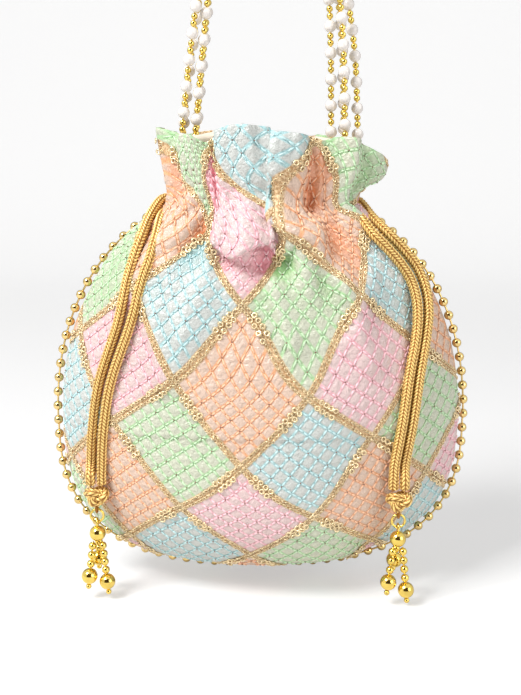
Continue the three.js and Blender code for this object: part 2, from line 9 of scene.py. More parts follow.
import bpy
import numpy as np
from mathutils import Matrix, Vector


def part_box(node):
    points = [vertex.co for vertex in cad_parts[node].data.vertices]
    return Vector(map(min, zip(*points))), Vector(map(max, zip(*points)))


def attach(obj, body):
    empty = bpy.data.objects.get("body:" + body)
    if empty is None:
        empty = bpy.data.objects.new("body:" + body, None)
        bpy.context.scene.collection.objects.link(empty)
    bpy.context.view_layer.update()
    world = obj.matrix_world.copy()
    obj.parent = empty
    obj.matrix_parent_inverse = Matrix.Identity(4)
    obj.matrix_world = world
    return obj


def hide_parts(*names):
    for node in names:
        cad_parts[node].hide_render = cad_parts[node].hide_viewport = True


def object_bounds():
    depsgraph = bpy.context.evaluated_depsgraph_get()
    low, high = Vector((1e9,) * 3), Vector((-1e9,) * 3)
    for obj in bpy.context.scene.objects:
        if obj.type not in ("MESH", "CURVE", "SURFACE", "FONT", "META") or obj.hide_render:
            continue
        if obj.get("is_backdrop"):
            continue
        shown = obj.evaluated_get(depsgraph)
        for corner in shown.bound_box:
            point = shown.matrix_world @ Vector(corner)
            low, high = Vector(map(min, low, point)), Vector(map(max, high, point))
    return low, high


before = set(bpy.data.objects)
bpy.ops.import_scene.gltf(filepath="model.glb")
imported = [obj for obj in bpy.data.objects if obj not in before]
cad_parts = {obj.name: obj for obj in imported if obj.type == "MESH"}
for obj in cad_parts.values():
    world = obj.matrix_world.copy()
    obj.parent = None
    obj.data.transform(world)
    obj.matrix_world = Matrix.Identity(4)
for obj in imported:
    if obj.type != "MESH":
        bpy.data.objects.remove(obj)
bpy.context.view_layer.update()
MM = 0.001

bl_info = {
    "name": "Potli bag",
    "version": (1, 0, 0),
    "blender": (4, 5, 0),
    "location": "3D View > Sidebar > Potli",
    "description": "Makes the cloth, beads, cords and stage of a potli bag",
    "category": "Object",
}

# Body of the pouch
BAG_WIDTH = 202
BAG_DEPTH = 88
WIDEST_Z = 75
SHOULDER_RISE = 114
DEPTH_RISE = 122
BOTTOM_ROUNDNESS = 2.7
SHOULDER_ROUNDNESS = 2.2
FRONT_ROUNDNESS = 1.44
CLOTH_THICKNESS = 1.1
SEAM_GAP = 0.3
LOWEST_ROW = 0.4

# Neck, casing and ruffle
NECK_WIDTH = 86
NECK_DEPTH = 50
CASING_Z = 182
MOUTH_Z = 219
MOUTH_WIDTH = 98
MOUTH_DEPTH = 62
NECK_BLEND = 7
GATHERS_START_Z = 118
LOBES = 11
LOBE_TURN = 13
GATHER_DEPTH = 2.8
RUFFLE_DEPTH = 5.2
RIGHT_FLARE = 12
RIGHT_DROOP = 13

# Lining
LINED_WALL = 2.6
LINING_THICKNESS = 1
CHANNEL = 1.3 * GATHER_DEPTH + 6

# Beads along the seam
RIM_BEAD = 4.8
RIM_PITCH = 7.4
RIM_TOP_Z = 177
THREAD_RADIUS = 0.5

# Drawcords
CORD = 5
CORD_CLEARANCE = 0.35
PAIR_GAP = 0.4
KNOT_WIDTH = 13
KNOT_HEIGHT = 10

# Tassels
LINK_WIRE = 1.2
LINK_WIDTH = 7.6
LINK_SLACK = 0.35
EYE_WIRE = 1.2
EYE_HOLE = 2.7
TOP_BEAD = 8
END_BEAD = 8
SMALL_BEAD = 4
TIP_BEAD = 2.8

# Handle
PEARL = 5.8
GOLD_BEAD = 3.2
STRAND_PITCH = 12.4
HANDLE_Z = 332
PACKING = PEARL / 2 + 0.3
STRAND_Z = 206.7

# Embroidery: squares of cloth turned by 45 degrees, each worked with a grid of small cells
HALF_DIAGONAL = 32
SQUARE = HALF_DIAGONAL * math.sqrt(2)
FIRST_CORNER = (-9.7, 62)
CELLS = 7
PUFF = 0.9
TRIM_WIDTH = 4.0
RING_PITCH = 2.15
RING_ROW = 1.05
RING_SIZE = (2.7, 1.6, 2.2)
SEQUIN_START = 7.5
SEQUIN_PITCH = 3.1
SEQUIN_ROW = 1.5
SEQUIN_SIZE = (3.3, 3.3, 2.0)
STITCH_LIFT = 0.5
STITCH_OVERLAP = 1.12
STITCH_WIDTH = 0.95
STITCH_HEIGHT = 0.9
CROSSING_KNOT = (0.75, 0.75, 0.6)


def smooth(low, high, x):
    """A soft step from 0 at low to 1 at high."""
    t = np.clip((x - low) / (high - low), 0, 1)
    return t * t * (3 - 2 * t)


def hump(x, middle, width):
    """A smooth rise round the middle."""
    return np.exp(-((x - middle) / width) ** 2)


def half_size(level, widest, rise, neck, mouth):
    """Half of the pouch's width or depth at a height."""
    drop = np.clip((WIDEST_Z - level) / WIDEST_Z, 0, 1)
    lower = widest * (1 - drop ** BOTTOM_ROUNDNESS) ** (1 / BOTTOM_ROUNDNESS)
    climb = np.clip((level - WIDEST_Z) / rise, 0, 1)
    body = widest * (1 - climb ** SHOULDER_ROUNDNESS) ** (1 / SHOULDER_ROUNDNESS)
    throat = neck / 2 + (mouth - neck) / 2 * smooth(CASING_Z, MOUTH_Z, level)
    upper = (body + throat + np.hypot(body - throat, NECK_BLEND)) / 2
    return np.where(level < WIDEST_Z, lower, upper)


def half_width(level):
    return half_size(level, BAG_WIDTH / 2, SHOULDER_RISE, NECK_WIDTH, MOUTH_WIDTH)


def half_depth(level):
    return half_size(level, BAG_DEPTH / 2, DEPTH_RISE, NECK_DEPTH, MOUTH_DEPTH)


def gather(theta, level):
    """The gathers: deepest at the front and back, shallow at the side seams."""
    depth = GATHER_DEPTH * smooth(GATHERS_START_Z, CASING_Z - 8, level)
    depth = depth + (RUFFLE_DEPTH - GATHER_DEPTH) * smooth(CASING_Z, MOUTH_Z, level)
    side_fade = 0.3 + 0.7 * np.cos(theta) ** 2
    lobes = np.cos(LOBES * (theta + math.radians(LOBE_TURN)))
    creases = 0.3 * np.cos((2 * LOBES - 3) * theta + 1)
    return depth * side_fade * (lobes + creases)


def cloth_point(theta, level, inset=0.0, flat=0.0):
    """Points of the plain cloth surface. Theta, in radians, is 0 at the front and pi at the back."""
    sine, cosine = np.sin(theta), np.cos(theta)
    right = np.maximum(0, sine) ** 4
    fold = gather(theta, level) * (1 - flat)
    wide = half_width(level) * (1 - flat) + half_width(np.float64(CASING_Z)) * flat
    deep = half_depth(level) * (1 - flat) + half_depth(np.float64(CASING_Z)) * flat
    flare = RIGHT_FLARE * smooth(CASING_Z + 2, MOUTH_Z - 16, level) * right * (1 - flat)
    tight = smooth(GATHERS_START_Z, CASING_Z - 8, level)
    roundness = FRONT_ROUNDNESS + (1 - FRONT_ROUNDNESS) * tight
    x = (wide - inset + fold + flare) * sine
    y = np.maximum(0, deep - inset) * np.abs(cosine) ** roundness + fold * np.abs(cosine)
    lift = inset * np.maximum(0, WIDEST_Z - level) / WIDEST_Z
    edge = 2 * np.cos(5 * theta + 1) - RIGHT_DROOP * right
    z = level + lift + smooth(CASING_Z + 6, MOUTH_Z, level) * edge
    return np.stack([x, -np.sign(cosine) * y, z + 0 * x], axis=-1)


# The flat cloth: how far across and how high each place of a panel lies before the cloth is gathered.

ANGLES = np.radians(np.linspace(-90, 90, 721))
ROW = cloth_point(ANGLES, np.full(721, float(WIDEST_Z)))
ROW_STEPS = np.hypot(np.diff(ROW[:, 0]), np.diff(ROW[:, 1]))
ROW_ARC = np.concatenate([[0], np.cumsum(ROW_STEPS)])
ROW_ARC -= ROW_ARC[-1] / 2
LEVELS = np.linspace(LOWEST_ROW, MOUTH_Z, 1200)
CENTRE_LINE = np.stack([half_depth(LEVELS), LEVELS], axis=-1)
RISE_STEPS = np.hypot(np.diff(CENTRE_LINE[:, 0]), np.diff(CENTRE_LINE[:, 1]))
RISE = np.concatenate([[0], np.cumsum(RISE_STEPS)])
RISE -= np.interp(WIDEST_Z, LEVELS, RISE)
WIDEST_UP = 62
DECIMETRE = 100


def squeeze(level):
    """The cut narrows towards the rounded bottom, so the cloth isn't gathered there."""
    return np.where(level < WIDEST_Z, half_width(level) / (BAG_WIDTH / 2), 1)


def across_shift(level):
    return 5 * (1 - smooth(10, WIDEST_Z, level))


def ruffle_shift(arc):
    """The ruffle's cloth is bunched to the left, with much of it tucked into one deep valley."""
    turn = np.degrees(np.interp(arc, ROW_ARC, ANGLES))
    left = 47 - 23 * smooth(-90, -45, turn)
    return left + 19 * smooth(-42, -32, turn) - 51 * smooth(-30, 50, turn)


def up_shift(across, level):
    """How far the stuffed front carries the pattern up or down."""
    middle = smooth(15, 50, level) * (1 - smooth(95, 135, level))
    bow = (1 - smooth(150, 190, level)) * (across / 80) ** 2
    stretched = smooth(154, 216, level) * (17 - 13 * smooth(62, 88, across))
    return WIDEST_UP + 14 * middle * np.exp(-(across / 50) ** 2) - 9 * bow - stretched


def flat_across(arc, level):
    return arc * squeeze(level) - across_shift(level) + smooth(168, 200, level) * ruffle_shift(arc)


def flat_place(arc, level):
    """Where a place of the panel lies on the flat cloth."""
    across = flat_across(arc, level)
    return across, np.interp(level, LEVELS, RISE) + up_shift(across, level)


def panel_place(across, up):
    """The arc and level of a place on the flat cloth, found by halving, and which places there are."""
    level = np.interp(up - WIDEST_UP, RISE, LEVELS)
    for _ in range(30):
        level = np.interp(up - up_shift(across, level), RISE, LEVELS)
    low = np.full_like(across, ROW_ARC[0])
    high = np.full_like(across, ROW_ARC[-1])
    found = (across > flat_across(low, level)) & (across < flat_across(high, level))
    for _ in range(30):
        middle = (low + high) / 2
        short = flat_across(middle, level) < across
        low = np.where(short, middle, low)
        high = np.where(short, high, middle)
    return (low + high) / 2, level, found


def square_place(across, up):
    """The square of cloth and the place in it: whole parts name the square."""
    x, y = across - FIRST_CORNER[0], up - FIRST_CORNER[1]
    return (x + y) / (2 * HALF_DIAGONAL), (x - y) / (2 * HALF_DIAGONAL) + 1


def from_trim(i, j):
    """How far a place in squares lies from the middle of the nearest trim, in millimetres."""
    return np.minimum(np.abs(i - np.round(i)), np.abs(j - np.round(j))) * SQUARE


def embroidery_height(across, up):
    """The relief of the worked cloth: a puff in each cell, and the trim's band along the squares."""
    i, j = square_place(across, up)
    puffs = np.abs(np.sin(math.pi * CELLS * i) * np.sin(math.pi * CELLS * j)) ** 0.45 * PUFF
    band = 1 - smooth(TRIM_WIDTH / 2 - 0.4, TRIM_WIDTH / 2 + 0.6, from_trim(i, j))
    return puffs * (1 - band) + 0.5 * band


def ridge(x, z, first, last, width, drop):
    """A fold between two places as seen from the front: gentle on its right, steep on its left by drop."""
    run = np.subtract(last, first)
    length = math.hypot(*run)
    ahead = run / length
    along = (x - first[0]) * ahead[0] + (z - first[1]) * ahead[1]
    aside = ((x - first[0]) * -ahead[1] + (z - first[1]) * ahead[0]) * np.sign(ahead[1])
    held = smooth(-6, 8, along) * (1 - smooth(length - 8, length + 6, along))
    right = np.exp(-(np.maximum(0, -aside) / (width * 1.6)) ** 2)
    left = np.exp(-(np.maximum(0, aside) / (width * drop)) ** 2)
    return held * np.where(aside < 0, right, left)


def dent(x, z, place, wide, tall):
    """A round rise, or a hollow where it is taken away."""
    return np.exp(-((x - place[0]) / wide) ** 2 - ((z - place[1]) / tall) ** 2)


# Folds of the front: how high, from where to where, how wide, and how steep on the left
RIDGES = (
    (6, (41, 138), (19, 172), 4.5, 0.55),
    (4.5, (21, 168), (0, 186), 3.6, 0.7),
    (3.5, (-1, 190), (-7, 226), 5.5, 0.4),
    (4.5, (-46, 165), (-27, 181), 3.2, 0.6),
    (3.5, (-45, 175), (-30, 190), 2.8, 0.6),
    (3, (-36, 118), (-45, 160), 4.5, 0.8),
    (2.6, (40, 118), (52, 158), 4.5, 0.8),
    (3.4, (16, 116), (2, 152), 4.5, 0.6),
    (3.2, (52, 106), (40, 140), 5.5, 0.8),
    (3.2, (-51, 140), (-45, 98), 5, 0.8),
    (3, (-36, 112), (-29, 152), 6, 0.8),
)
# Rises and hollows of the front: how high, where, how wide and how tall
DENTS = (
    (-4.5, (31, 157), 6, 15),
    (-3, (-27, 174), 5, 7),
    (3.2, (42, 180), 9, 9),
    (2.2, (33, 190), 6, 6),
    (8, (5.5, 207), 6.5, 17),
    (1.5, (28, 178), 5, 5),
    (-2.5, (22, 186), 4, 8),
)
# The hollow under the pocket's lip, written in the same way
UNDER_LIP = ((1, (-19, 158), 7, 5), (1, (9, 157), 8, 6), (0.5, (-5, 157), 12, 4))


def front_folds(x, z):
    """The front's own folds, as a height off the cloth, and how far the pocket's lip hangs down."""
    lip = 165.5 - 3.5 * np.cos((x + 14) * 0.26)
    over = hump(x, -4, 15) * smooth(lip - 2.2, lip + 1.2, z)
    pocket = over * (1 - smooth(172, 192, z))
    under = sum(high * dent(x, z, *where) for high, *where in UNDER_LIP)
    height = 1.5 * smooth(130, 150, z) * (1 - smooth(196, 214, z)) + 10 * pocket - 3.4 * under
    for high, *course in RIDGES:
        height = height + high * ridge(x, z, *course)
    for high, *where in DENTS:
        height = height + high * dent(x, z, *where)
    notch = 5 * hump(x, -25, 6) * smooth(204, 219, z) + 2.5 * hump(x, 30, 5) * smooth(208, 219, z)
    return np.maximum(height, -1.2) + 0.3 * np.minimum(0, height + 1.2), 6 * pocket + notch


def hollow(theta, level, back):
    """How deep a place lies in the valleys round the neck, from 0 to 1, which sets how much shade the
    cloth's finish paints there.
    """
    plain = cloth_point(theta, level)
    height = gather(theta, level)
    if not back:
        height = height + front_folds(plain[..., 0], plain[..., 2])[0]
    return smooth(3.0, -2.5, height) * smooth(128, 150, level) * (1 - 0.6 * smooth(198, 214, level))


def small_creases(theta, level, turn):
    """Fine creases that fan out of the neck and the ruffle."""
    held = smooth(128, 172, level)
    fan = np.sin(27 * theta + 2.2 * np.sin(3 * theta + turn) + 0.035 * level)
    finer = np.sin(43 * theta + 0.06 * level + turn)
    return held * (1.05 * fan + 0.5 * finer) * (0.35 + 0.65 * np.abs(np.cos(theta)))


def slack(across, up, turn):
    """The gentle unevenness of filled cloth."""
    first = np.sin(across / 17 + 1.3 * np.sin(up / 23 + turn))
    return 0.8 * first + 0.65 * np.sin(up / 13 + across / 29 + 2 * turn)


# The right tassel reaches the cloth here when everything swings at once, so the cloth is pressed flat
TASSEL_REST = (56, 14)
REST_SIZE = 10
REST_DEPTH = 1.4


def panel_surface(arc, level, back, relief=True):
    """Points of the finished panel, its embroidery and its folds included."""
    theta = np.interp(arc, ROW_ARC, ANGLES) + (math.pi if back else 0)
    plain = cloth_point(theta, level)
    turn = 2.0 if back else 0.0
    across, up = flat_place(arc, level)
    height = small_creases(theta, level, turn) + slack(across, up, turn)
    hang = 0 * height
    if not back:
        folds, hang = front_folds(plain[..., 0], plain[..., 2])
        height = height + folds
        pressed = dent(plain[..., 0], plain[..., 2], TASSEL_REST, REST_SIZE, REST_SIZE)
        height = height * (1 - pressed) - REST_DEPTH * pressed
    if relief:
        height = height + embroidery_height(across, up)
    edge = 1 - smooth(0.94, 1.0, np.abs(arc) / ROW_ARC[-1])
    foot = smooth(0.4, 8, level)
    height = height * edge * foot
    step = 0.004
    sideways = cloth_point(theta + step, level) - cloth_point(theta - step, level)
    upwards = cloth_point(theta, level + 0.3) - cloth_point(theta, level - 0.3)
    outward = np.cross(sideways, upwards)
    radial = np.stack([np.sin(theta), -np.cos(theta), 0 * theta], axis=-1)
    outward = unit(unit(outward) + 0.8 * smooth(150, 195, level)[..., None] * radial)
    plain[..., 1] += (SEAM_GAP / 2) * (1 if back else -1)
    plain[..., 2] -= hang * edge
    return slit_open(plain + outward * height[..., None], back)


def slit_open(points, back):
    """Draws the panel's edge aside where the drawcords leave the casing."""
    x, y, z = (points[..., k] for k in range(3))
    gap = np.sqrt(np.clip(1 - ((z - CASING_Z) / 9) ** 2, 0, 1)) * (np.abs(x) > NECK_WIDTH / 4)
    away = np.maximum(np.abs(y), gap * (CORD / 2 + 0.6 if back else CORD + 0.8))
    moved = away - np.abs(y)
    out = np.sign(x) * (0 if back else 0.6) * moved
    return np.stack([x + out, np.where(moved > 0, away * (1 if back else -1), y), z], axis=-1)


def in_frame(points):
    """Bag millimetres to frame metres."""
    moved = np.array(points, float)
    moved[..., 2] -= HANDLE_Z
    return moved * MM


# Making meshes

def start_piece():
    """Clears the selection, so that an operator acts on the new shape alone."""
    if bpy.context.object is not None and bpy.context.object.mode != "OBJECT":
        bpy.ops.object.mode_set(mode="OBJECT")
    bpy.ops.object.select_all(action="DESELECT")


def named(name):
    piece = bpy.context.object
    piece.name = name
    piece.data.name = name
    return piece


def grid_piece(name, columns, rows, surface, closed_round=False):
    """A grid laid on a surface: surface takes the shares across and along, from 0 to 1."""
    start_piece()
    bpy.ops.mesh.primitive_grid_add(x_subdivisions=columns, y_subdivisions=rows, size=1, calc_uvs=True)
    piece = named(name)
    count = len(piece.data.vertices)
    flat = np.zeros(count * 3)
    piece.data.vertices.foreach_get("co", flat)
    shares = flat.reshape(-1, 3)[:, :2] + 0.5
    points = in_frame(surface(shares[:, 0], shares[:, 1]))
    piece.data.vertices.foreach_set("co", points.ravel())
    piece.data.update()
    if hasattr(surface, "depth"):
        layer = piece.data.attributes.new("depth", "FLOAT", "POINT")
        layer.data.foreach_set("value", surface.depth)
    if closed_round:
        bpy.ops.object.mode_set(mode="EDIT")
        bpy.ops.mesh.select_all(action="SELECT")
        bpy.ops.mesh.remove_doubles(threshold=1e-6)
        bpy.ops.object.mode_set(mode="OBJECT")
    bpy.ops.object.shade_smooth()
    return piece


def template(kind, **sizes):
    """The points and faces of a shape modelled once, to be copied."""
    start_piece()
    if kind == "ball":
        bpy.ops.mesh.primitive_uv_sphere_add(radius=0.5, **sizes)
    else:
        bpy.ops.mesh.primitive_torus_add(**sizes)
    shape = bpy.context.object
    points = np.array([v.co[:] for v in shape.data.vertices])
    faces = [tuple(p.vertices) for p in shape.data.polygons]
    bpy.data.objects.remove(shape)
    return points, faces


def copies(shape, places, sizes, x_axes=None, z_axes=None):
    """Copies of a shape at places, each with its own size along its own axes."""
    points, faces = shape
    count = len(places)
    x_axes = np.tile([1.0, 0, 0], (count, 1)) if x_axes is None else unit(x_axes)
    z_axes = np.tile([0, 0, 1.0], (count, 1)) if z_axes is None else unit(z_axes)
    y_axes = unit(np.cross(z_axes, x_axes))
    x_axes = np.cross(y_axes, z_axes)
    sizes = np.broadcast_to(np.asarray(sizes, float), (count, 3))
    scaled = points[None] * sizes[:, None, :]
    made = (scaled[..., 0:1] * x_axes[:, None] + scaled[..., 1:2] * y_axes[:, None]
            + scaled[..., 2:3] * z_axes[:, None] + np.asarray(places)[:, None])
    made_faces = [tuple(i + k * len(points) for i in face) for k in range(count) for face in faces]
    return made.reshape(-1, 3), made_faces


def unit(vectors):
    vectors = np.asarray(vectors, float)
    return vectors / (np.linalg.norm(vectors, axis=-1, keepdims=True) + 1e-12)


def together(parts):
    """Joins (points, faces, material index) parts into one list of points, faces and indices."""
    points, faces, indices = [], [], []
    start = 0
    for part_points, part_faces, index in parts:
        points.append(part_points)
        faces.extend(tuple(i + start for i in face) for face in part_faces)
        indices.extend([index] * len(part_faces))
        start += len(part_points)
    return np.concatenate(points), faces, indices


def piece_of(name, points, faces, indices=None):
    """One piece from copied shapes."""
    mesh = bpy.data.meshes.new(name)
    mesh.from_pydata(in_frame(points).tolist(), [], faces)
    mesh.update()
    if indices is not None:
        mesh.polygons.foreach_set("material_index", indices)
    mesh.polygons.foreach_set("use_smooth", [True] * len(faces))
    piece = bpy.data.objects.new(name, mesh)
    bpy.context.scene.collection.objects.link(piece)
    return piece


def flat_map(piece, across, up):
    """Stores each point's place on the flat cloth as the piece's UV map, in decimetres."""
    layer = piece.data.uv_layers.get("flat") or piece.data.uv_layers.new(name="flat")
    corners = np.zeros(len(piece.data.loops), np.int32)
    piece.data.loops.foreach_get("vertex_index", corners)
    values = np.stack([across, up], axis=-1)[corners] / DECIMETRE
    layer.data.foreach_set("uv", values.ravel())


def smooth_line(points, count):
    """A soft line through points, as count points at even distances."""
    points = np.asarray(points, float)
    ends = np.concatenate([[2 * points[0] - points[1]], points, [2 * points[-1] - points[-2]]])
    t = np.linspace(0, 1, 24, endpoint=False)[:, None]
    line = []
    for a, b, c, d in zip(ends[:-3], ends[1:-2], ends[2:-1], ends[3:]):
        line.append(0.5 * (2 * b + (c - a) * t + (2 * a - 5 * b + 4 * c - d) * t ** 2
                           + (3 * b - a - 3 * c + d) * t ** 3))
    line = np.concatenate([*line, points[-1:]])
    return resampled(line, count)


def arc_of(line):
    return np.concatenate([[0], np.cumsum(np.linalg.norm(np.diff(line, axis=0), axis=1))])


def line_at(line, arc, far):
    """Points at distances along a line whose own points lie at the distances arc."""
    return np.stack([np.interp(far, arc, line[:, k]) for k in range(3)], axis=-1)


def resampled(line, count):
    arc = arc_of(line)
    return line_at(line, arc, np.linspace(0, arc[-1], count))


def line_frames(line):
    """Two directions across the line at each of its points, that don't twist along it."""
    ahead = unit(np.gradient(line, axis=0))
    normal = np.zeros_like(line)
    side = np.cross(ahead[0], [0, 1, 0])
    if np.linalg.norm(side) < 0.1:
        side = np.cross(ahead[0], [1, 0, 0])
    normal[0] = unit(side)
    for k in range(1, len(line)):
        kept = normal[k - 1] - ahead[k] * np.dot(normal[k - 1], ahead[k])
        normal[k] = unit(kept)
    return normal, np.cross(ahead, normal)


# Finishes

WHITE = (1, 1, 1, 1)


def shade(red, green, blue):
    """A screen colour as a shader colour."""
    def linear(value):
        value /= 255
        return value / 12.92 if value <= 0.04045 else ((value + 0.055) / 1.055) ** 2.4
    return (linear(red), linear(green), linear(blue), 1.0)


def fill(tree, socket, value):
    """Sets a socket to a plain value, or links it to another socket or to a Value."""
    value = value.socket if isinstance(value, Value) else value
    if isinstance(value, bpy.types.NodeSocket):
        tree.links.new(value, socket)
    else:
        socket.default_value = value


def add_node(tree, kind, sockets=None, **settings):
    """A node with its settings made and its sockets filled."""
    made = tree.nodes.new(kind)
    for name, value in settings.items():
        setattr(made, name, value)
    for key, value in (sockets or {}).items():
        fill(tree, made.inputs[key], value)
    return made


class Value:
    """A number in a material that can be worked with as in Python."""

    def __init__(self, finish, socket):
        self.finish = finish
        self.socket = socket

    def maths(self, operation, *others):
        sockets = dict(enumerate((self, *others)))
        made = self.finish.node("ShaderNodeMath", sockets, operation=operation)
        return Value(self.finish, made.outputs[0])

    def __add__(self, other):
        return self.maths("ADD", other)

    def __sub__(self, other):
        return self.maths("SUBTRACT", other)

    def __rsub__(self, other):
        return (self * -1) + other

    def __mul__(self, other):
        return self.maths("MULTIPLY", other)

    __rmul__ = __mul__

    def __truediv__(self, other):
        return self.maths("DIVIDE", other)


class Finish:
    """A material under construction."""

    def __init__(self, name, **shader):
        self.material = bpy.data.materials.new(name)
        self.material.use_nodes = True
        self.tree = self.material.node_tree
        self.shader = self.tree.nodes["Principled BSDF"]
        for socket, value in shader.items():
            self.set(socket.replace("_", " "), value)

    def node(self, kind, sockets=None, **settings):
        return add_node(self.tree, kind, sockets, **settings)

    def set(self, socket, value):
        fill(self.tree, self.shader.inputs[socket], value)

    def mix(self, share, first, second, blend="MIX"):
        sockets = {0: share, 6: first, 7: second}
        return self.node("ShaderNodeMix", sockets, data_type="RGBA", blend_type=blend).outputs[2]

    def step(self, value, low, high):
        sockets = {"Value": value, "From Min": low, "From Max": high}
        made = self.node("ShaderNodeMapRange", sockets, interpolation_type="SMOOTHSTEP")
        return Value(self, made.outputs[0])

    def noise(self, scale):
        """Fine unevenness, fixed to the piece."""
        place = self.node("ShaderNodeTexCoord").outputs["Object"]
        sockets = {"Vector": place, "Scale": scale, "Detail": 3.0}
        return Value(self, self.node("ShaderNodeTexNoise", sockets).outputs[0])

    def bump(self, height, distance, strength):
        sockets = {"Height": height, "Distance": distance, "Strength": strength}
        self.set("Normal", self.node("ShaderNodeBump", sockets).outputs[0])

    def depth(self):
        """The depth kept with the piece's points, by which the cloth and braid finishes paint shade."""
        return Value(self, self.node("ShaderNodeAttribute", attribute_name="depth").outputs["Fac"])

    def flat_place(self):
        """The place on the flat cloth in squares, moved by whole pairs of them to be above 0."""
        made = self.node("ShaderNodeUVMap", uv_map="flat")
        parts = self.node("ShaderNodeSeparateXYZ", {0: made.outputs[0]})
        across, up = (Value(self, parts.outputs[k]) * DECIMETRE for k in (0, 1))
        i, j = square_place(across, up)
        return i + 20, j + 20


FIELDS = ("orange", "green", "blue", "pink")


def square_colour(finish, i, j, settings, change):
    """The colour of the square that a place lies in, changed as the part of the work asks."""
    orange, green, blue, pink = (change(tuple(getattr(settings, name))) for name in FIELDS)
    odd_i, odd_j = (place.maths("FLOOR").maths("MODULO", 2) for place in (i, j))
    warm = finish.mix(odd_i, orange, green)
    cool = finish.mix(odd_i, blue, pink)
    return finish.mix(odd_j, warm, cool)


def toward(colour, other, share):
    return tuple(a + (b - a) * share for a, b in zip(colour, other))


def cell_colour(colour):
    """The satin cells between the stitches are greyer and paler than the cloth under them."""
    return toward(colour, shade(198, 186, 178), 0.68)


def thread_colour(colour):
    """The threads are the field's own colour, a little paler."""
    return toward(colour, WHITE, 0.12)


def field_and_groove_shade(colour):
    """The cloth under the threads: the field's own colour, made a little stronger and darker as painted
    shade in the grooves of the stitch lines.
    """
    return tuple(0.9 * c ** 1.25 for c in colour[:3]) + (1.0,)


def painted_valley_shade(colour):
    """Painted shade deep in a fold: the light has bounced off the cloth many times there, so the colour is
    fuller and darker.
    """
    return tuple(c ** 1.7 for c in colour[:3]) + (1.0,)


def from_line(value):
    """How far a place lies from the nearest whole number."""
    part = value.maths("FRACT")
    return part.maths("MINIMUM", 1 - part)


def cloth_finish(settings):
    """Satin cloth: coloured fields with painted shade along the stitch lines, a glossier cell in each
    diamond, painted shade in the neck's valleys, gold under the trim.
    """
    finish = Finish("embroidered_cloth_finish", Specular_IOR_Level=0.8)
    i, j = finish.flat_place()
    seam, cell, valley = (square_colour(finish, i, j, settings, change)
                          for change in (field_and_groove_shade, cell_colour, painted_valley_shade))
    near = from_line(i * CELLS).maths("MINIMUM", from_line(j * CELLS))
    inside = finish.step(near, 0.05, 0.17)
    # Along the stitch lines the field's colour with its painted groove shade, inside each cell the satin
    worked = finish.mix(inside, seam, cell)
    # Painted shade: deep in the valleys round the neck the colour turns towards the fuller, darker valley
    # colour
    worked = finish.mix(finish.depth(), worked, finish.mix(0.35, valley, worked, "MULTIPLY"))
    edge = from_line(i).maths("MINIMUM", from_line(j)) * SQUARE
    band = 1 - finish.step(edge, TRIM_WIDTH / 2 - 0.5, TRIM_WIDTH / 2 + 0.3)
    glints = finish.step(finish.noise(900.0), 0.35, 0.65)
    gold = finish.mix(glints, shade(178, 134, 84), shade(236, 208, 164))
    finish.set("Base Color", finish.mix(band, worked, gold))
    finish.set("Roughness", 0.56 - 0.24 * inside)
    finish.bump(finish.noise(520.0), 0.0016, 0.9)
    return finish.material


def thread_finish(settings):
    finish = Finish("embroidery_thread", Roughness=0.4, Specular_IOR_Level=0.6)
    finish.set("Base Color", square_colour(finish, *finish.flat_place(), settings, thread_colour))
    return finish.material


def shared(make):
    """Makes a finish at the first use of its name, and hands out the same one after that."""
    def found(name, *more, **settings):
        return bpy.data.materials.get(name) or make(name, *more, **settings)
    return found


def darker(colour, share):
    return tuple(c * share for c in colour[:3]) + (1.0,)


@shared
def gold_finish(name, colour, roughness, metallic=1.0):
    finish = Finish(name, Roughness=roughness, Metallic=metallic)
    patches = finish.step(finish.noise(220.0), 0.3, 0.7)
    finish.set("Base Color", finish.mix(patches, darker(colour, 0.8), colour))
    return finish.material


@shared
def plain_finish(name, colour, roughness, **more):
    finish = Finish(name, Roughness=roughness, **more)
    finish.set("Base Color", finish.mix(finish.noise(160.0), darker(colour, 0.93), colour))
    return finish.material


@shared
def braid_finish(name):
    """Braided gold yarn, with painted shade between its stitches."""
    finish = Finish(name, Roughness=0.34, Metallic=0.4)
    # Painted shade: dark brown where the stitch height kept on the points is low, between the stitches, and
    # full gold on the stitches
    yarn = finish.mix(finish.step(finish.depth(), 0.2, 0.95), shade(156, 102, 34), shade(255, 220, 138))
    finish.set("Base Color", yarn)
    return finish.material


def cord_gold():
    return braid_finish("gold_cord_finish")


def bead_gold():
    return gold_finish("gold_beads_finish", shade(242, 212, 112), 0.08)


def rim_gold():
    return gold_finish("rim_beads_finish", shade(238, 208, 140), 0.12)


def trim_gold():
    return gold_finish("gold_trim_finish", shade(252, 230, 186), 0.25, 0.55)


def cream_satin():
    return plain_finish("lining_satin_finish", shade(243, 232, 214), 0.45)


def pearl_coat():
    return plain_finish("pearls_finish", shade(238, 232, 227), 0.2, Coat_Weight=0.7, Coat_Roughness=0.08)


def refinish(node, material):
    """Gives a solid of the frame its finish."""
    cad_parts[node].data.materials.clear()
    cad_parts[node].data.materials.append(material)


# Cloth

# Columns and rows of each panel. The back is seen less, so it is coarser.
PANEL_GRIDS = {"front": (196, 200), "back": (130, 130)}


def thicken(piece, thickness):
    """Gives the surface just made its thickness, towards the inside."""
    wall = piece.modifiers.new("thickness", "SOLIDIFY")
    wall.thickness = thickness * MM
    wall.offset = -1
    bpy.ops.object.modifier_apply(modifier=wall.name)


def panel_grid(name, back, columns, rows):
    """One embroidered panel, even in the flat cloth."""
    def surface(share_across, share_up):
        arc = (share_across - 0.5) * 2 * ROW_ARC[-1]
        level = np.interp(share_up * (RISE[-1] - RISE[0]) + RISE[0], RISE, LEVELS)
        surface.flat = flat_place(arc, level)
        # How deep the place lies in the neck's valleys, kept on the points for the finish's painted shade
        surface.depth = hollow(np.interp(arc, ROW_ARC, ANGLES) + (math.pi if back else 0), level, back)
        return panel_surface(arc, level, back)
    piece = grid_piece(name, columns, rows, surface)
    flat_map(piece, *surface.flat)
    thicken(piece, CLOTH_THICKNESS)
    return piece


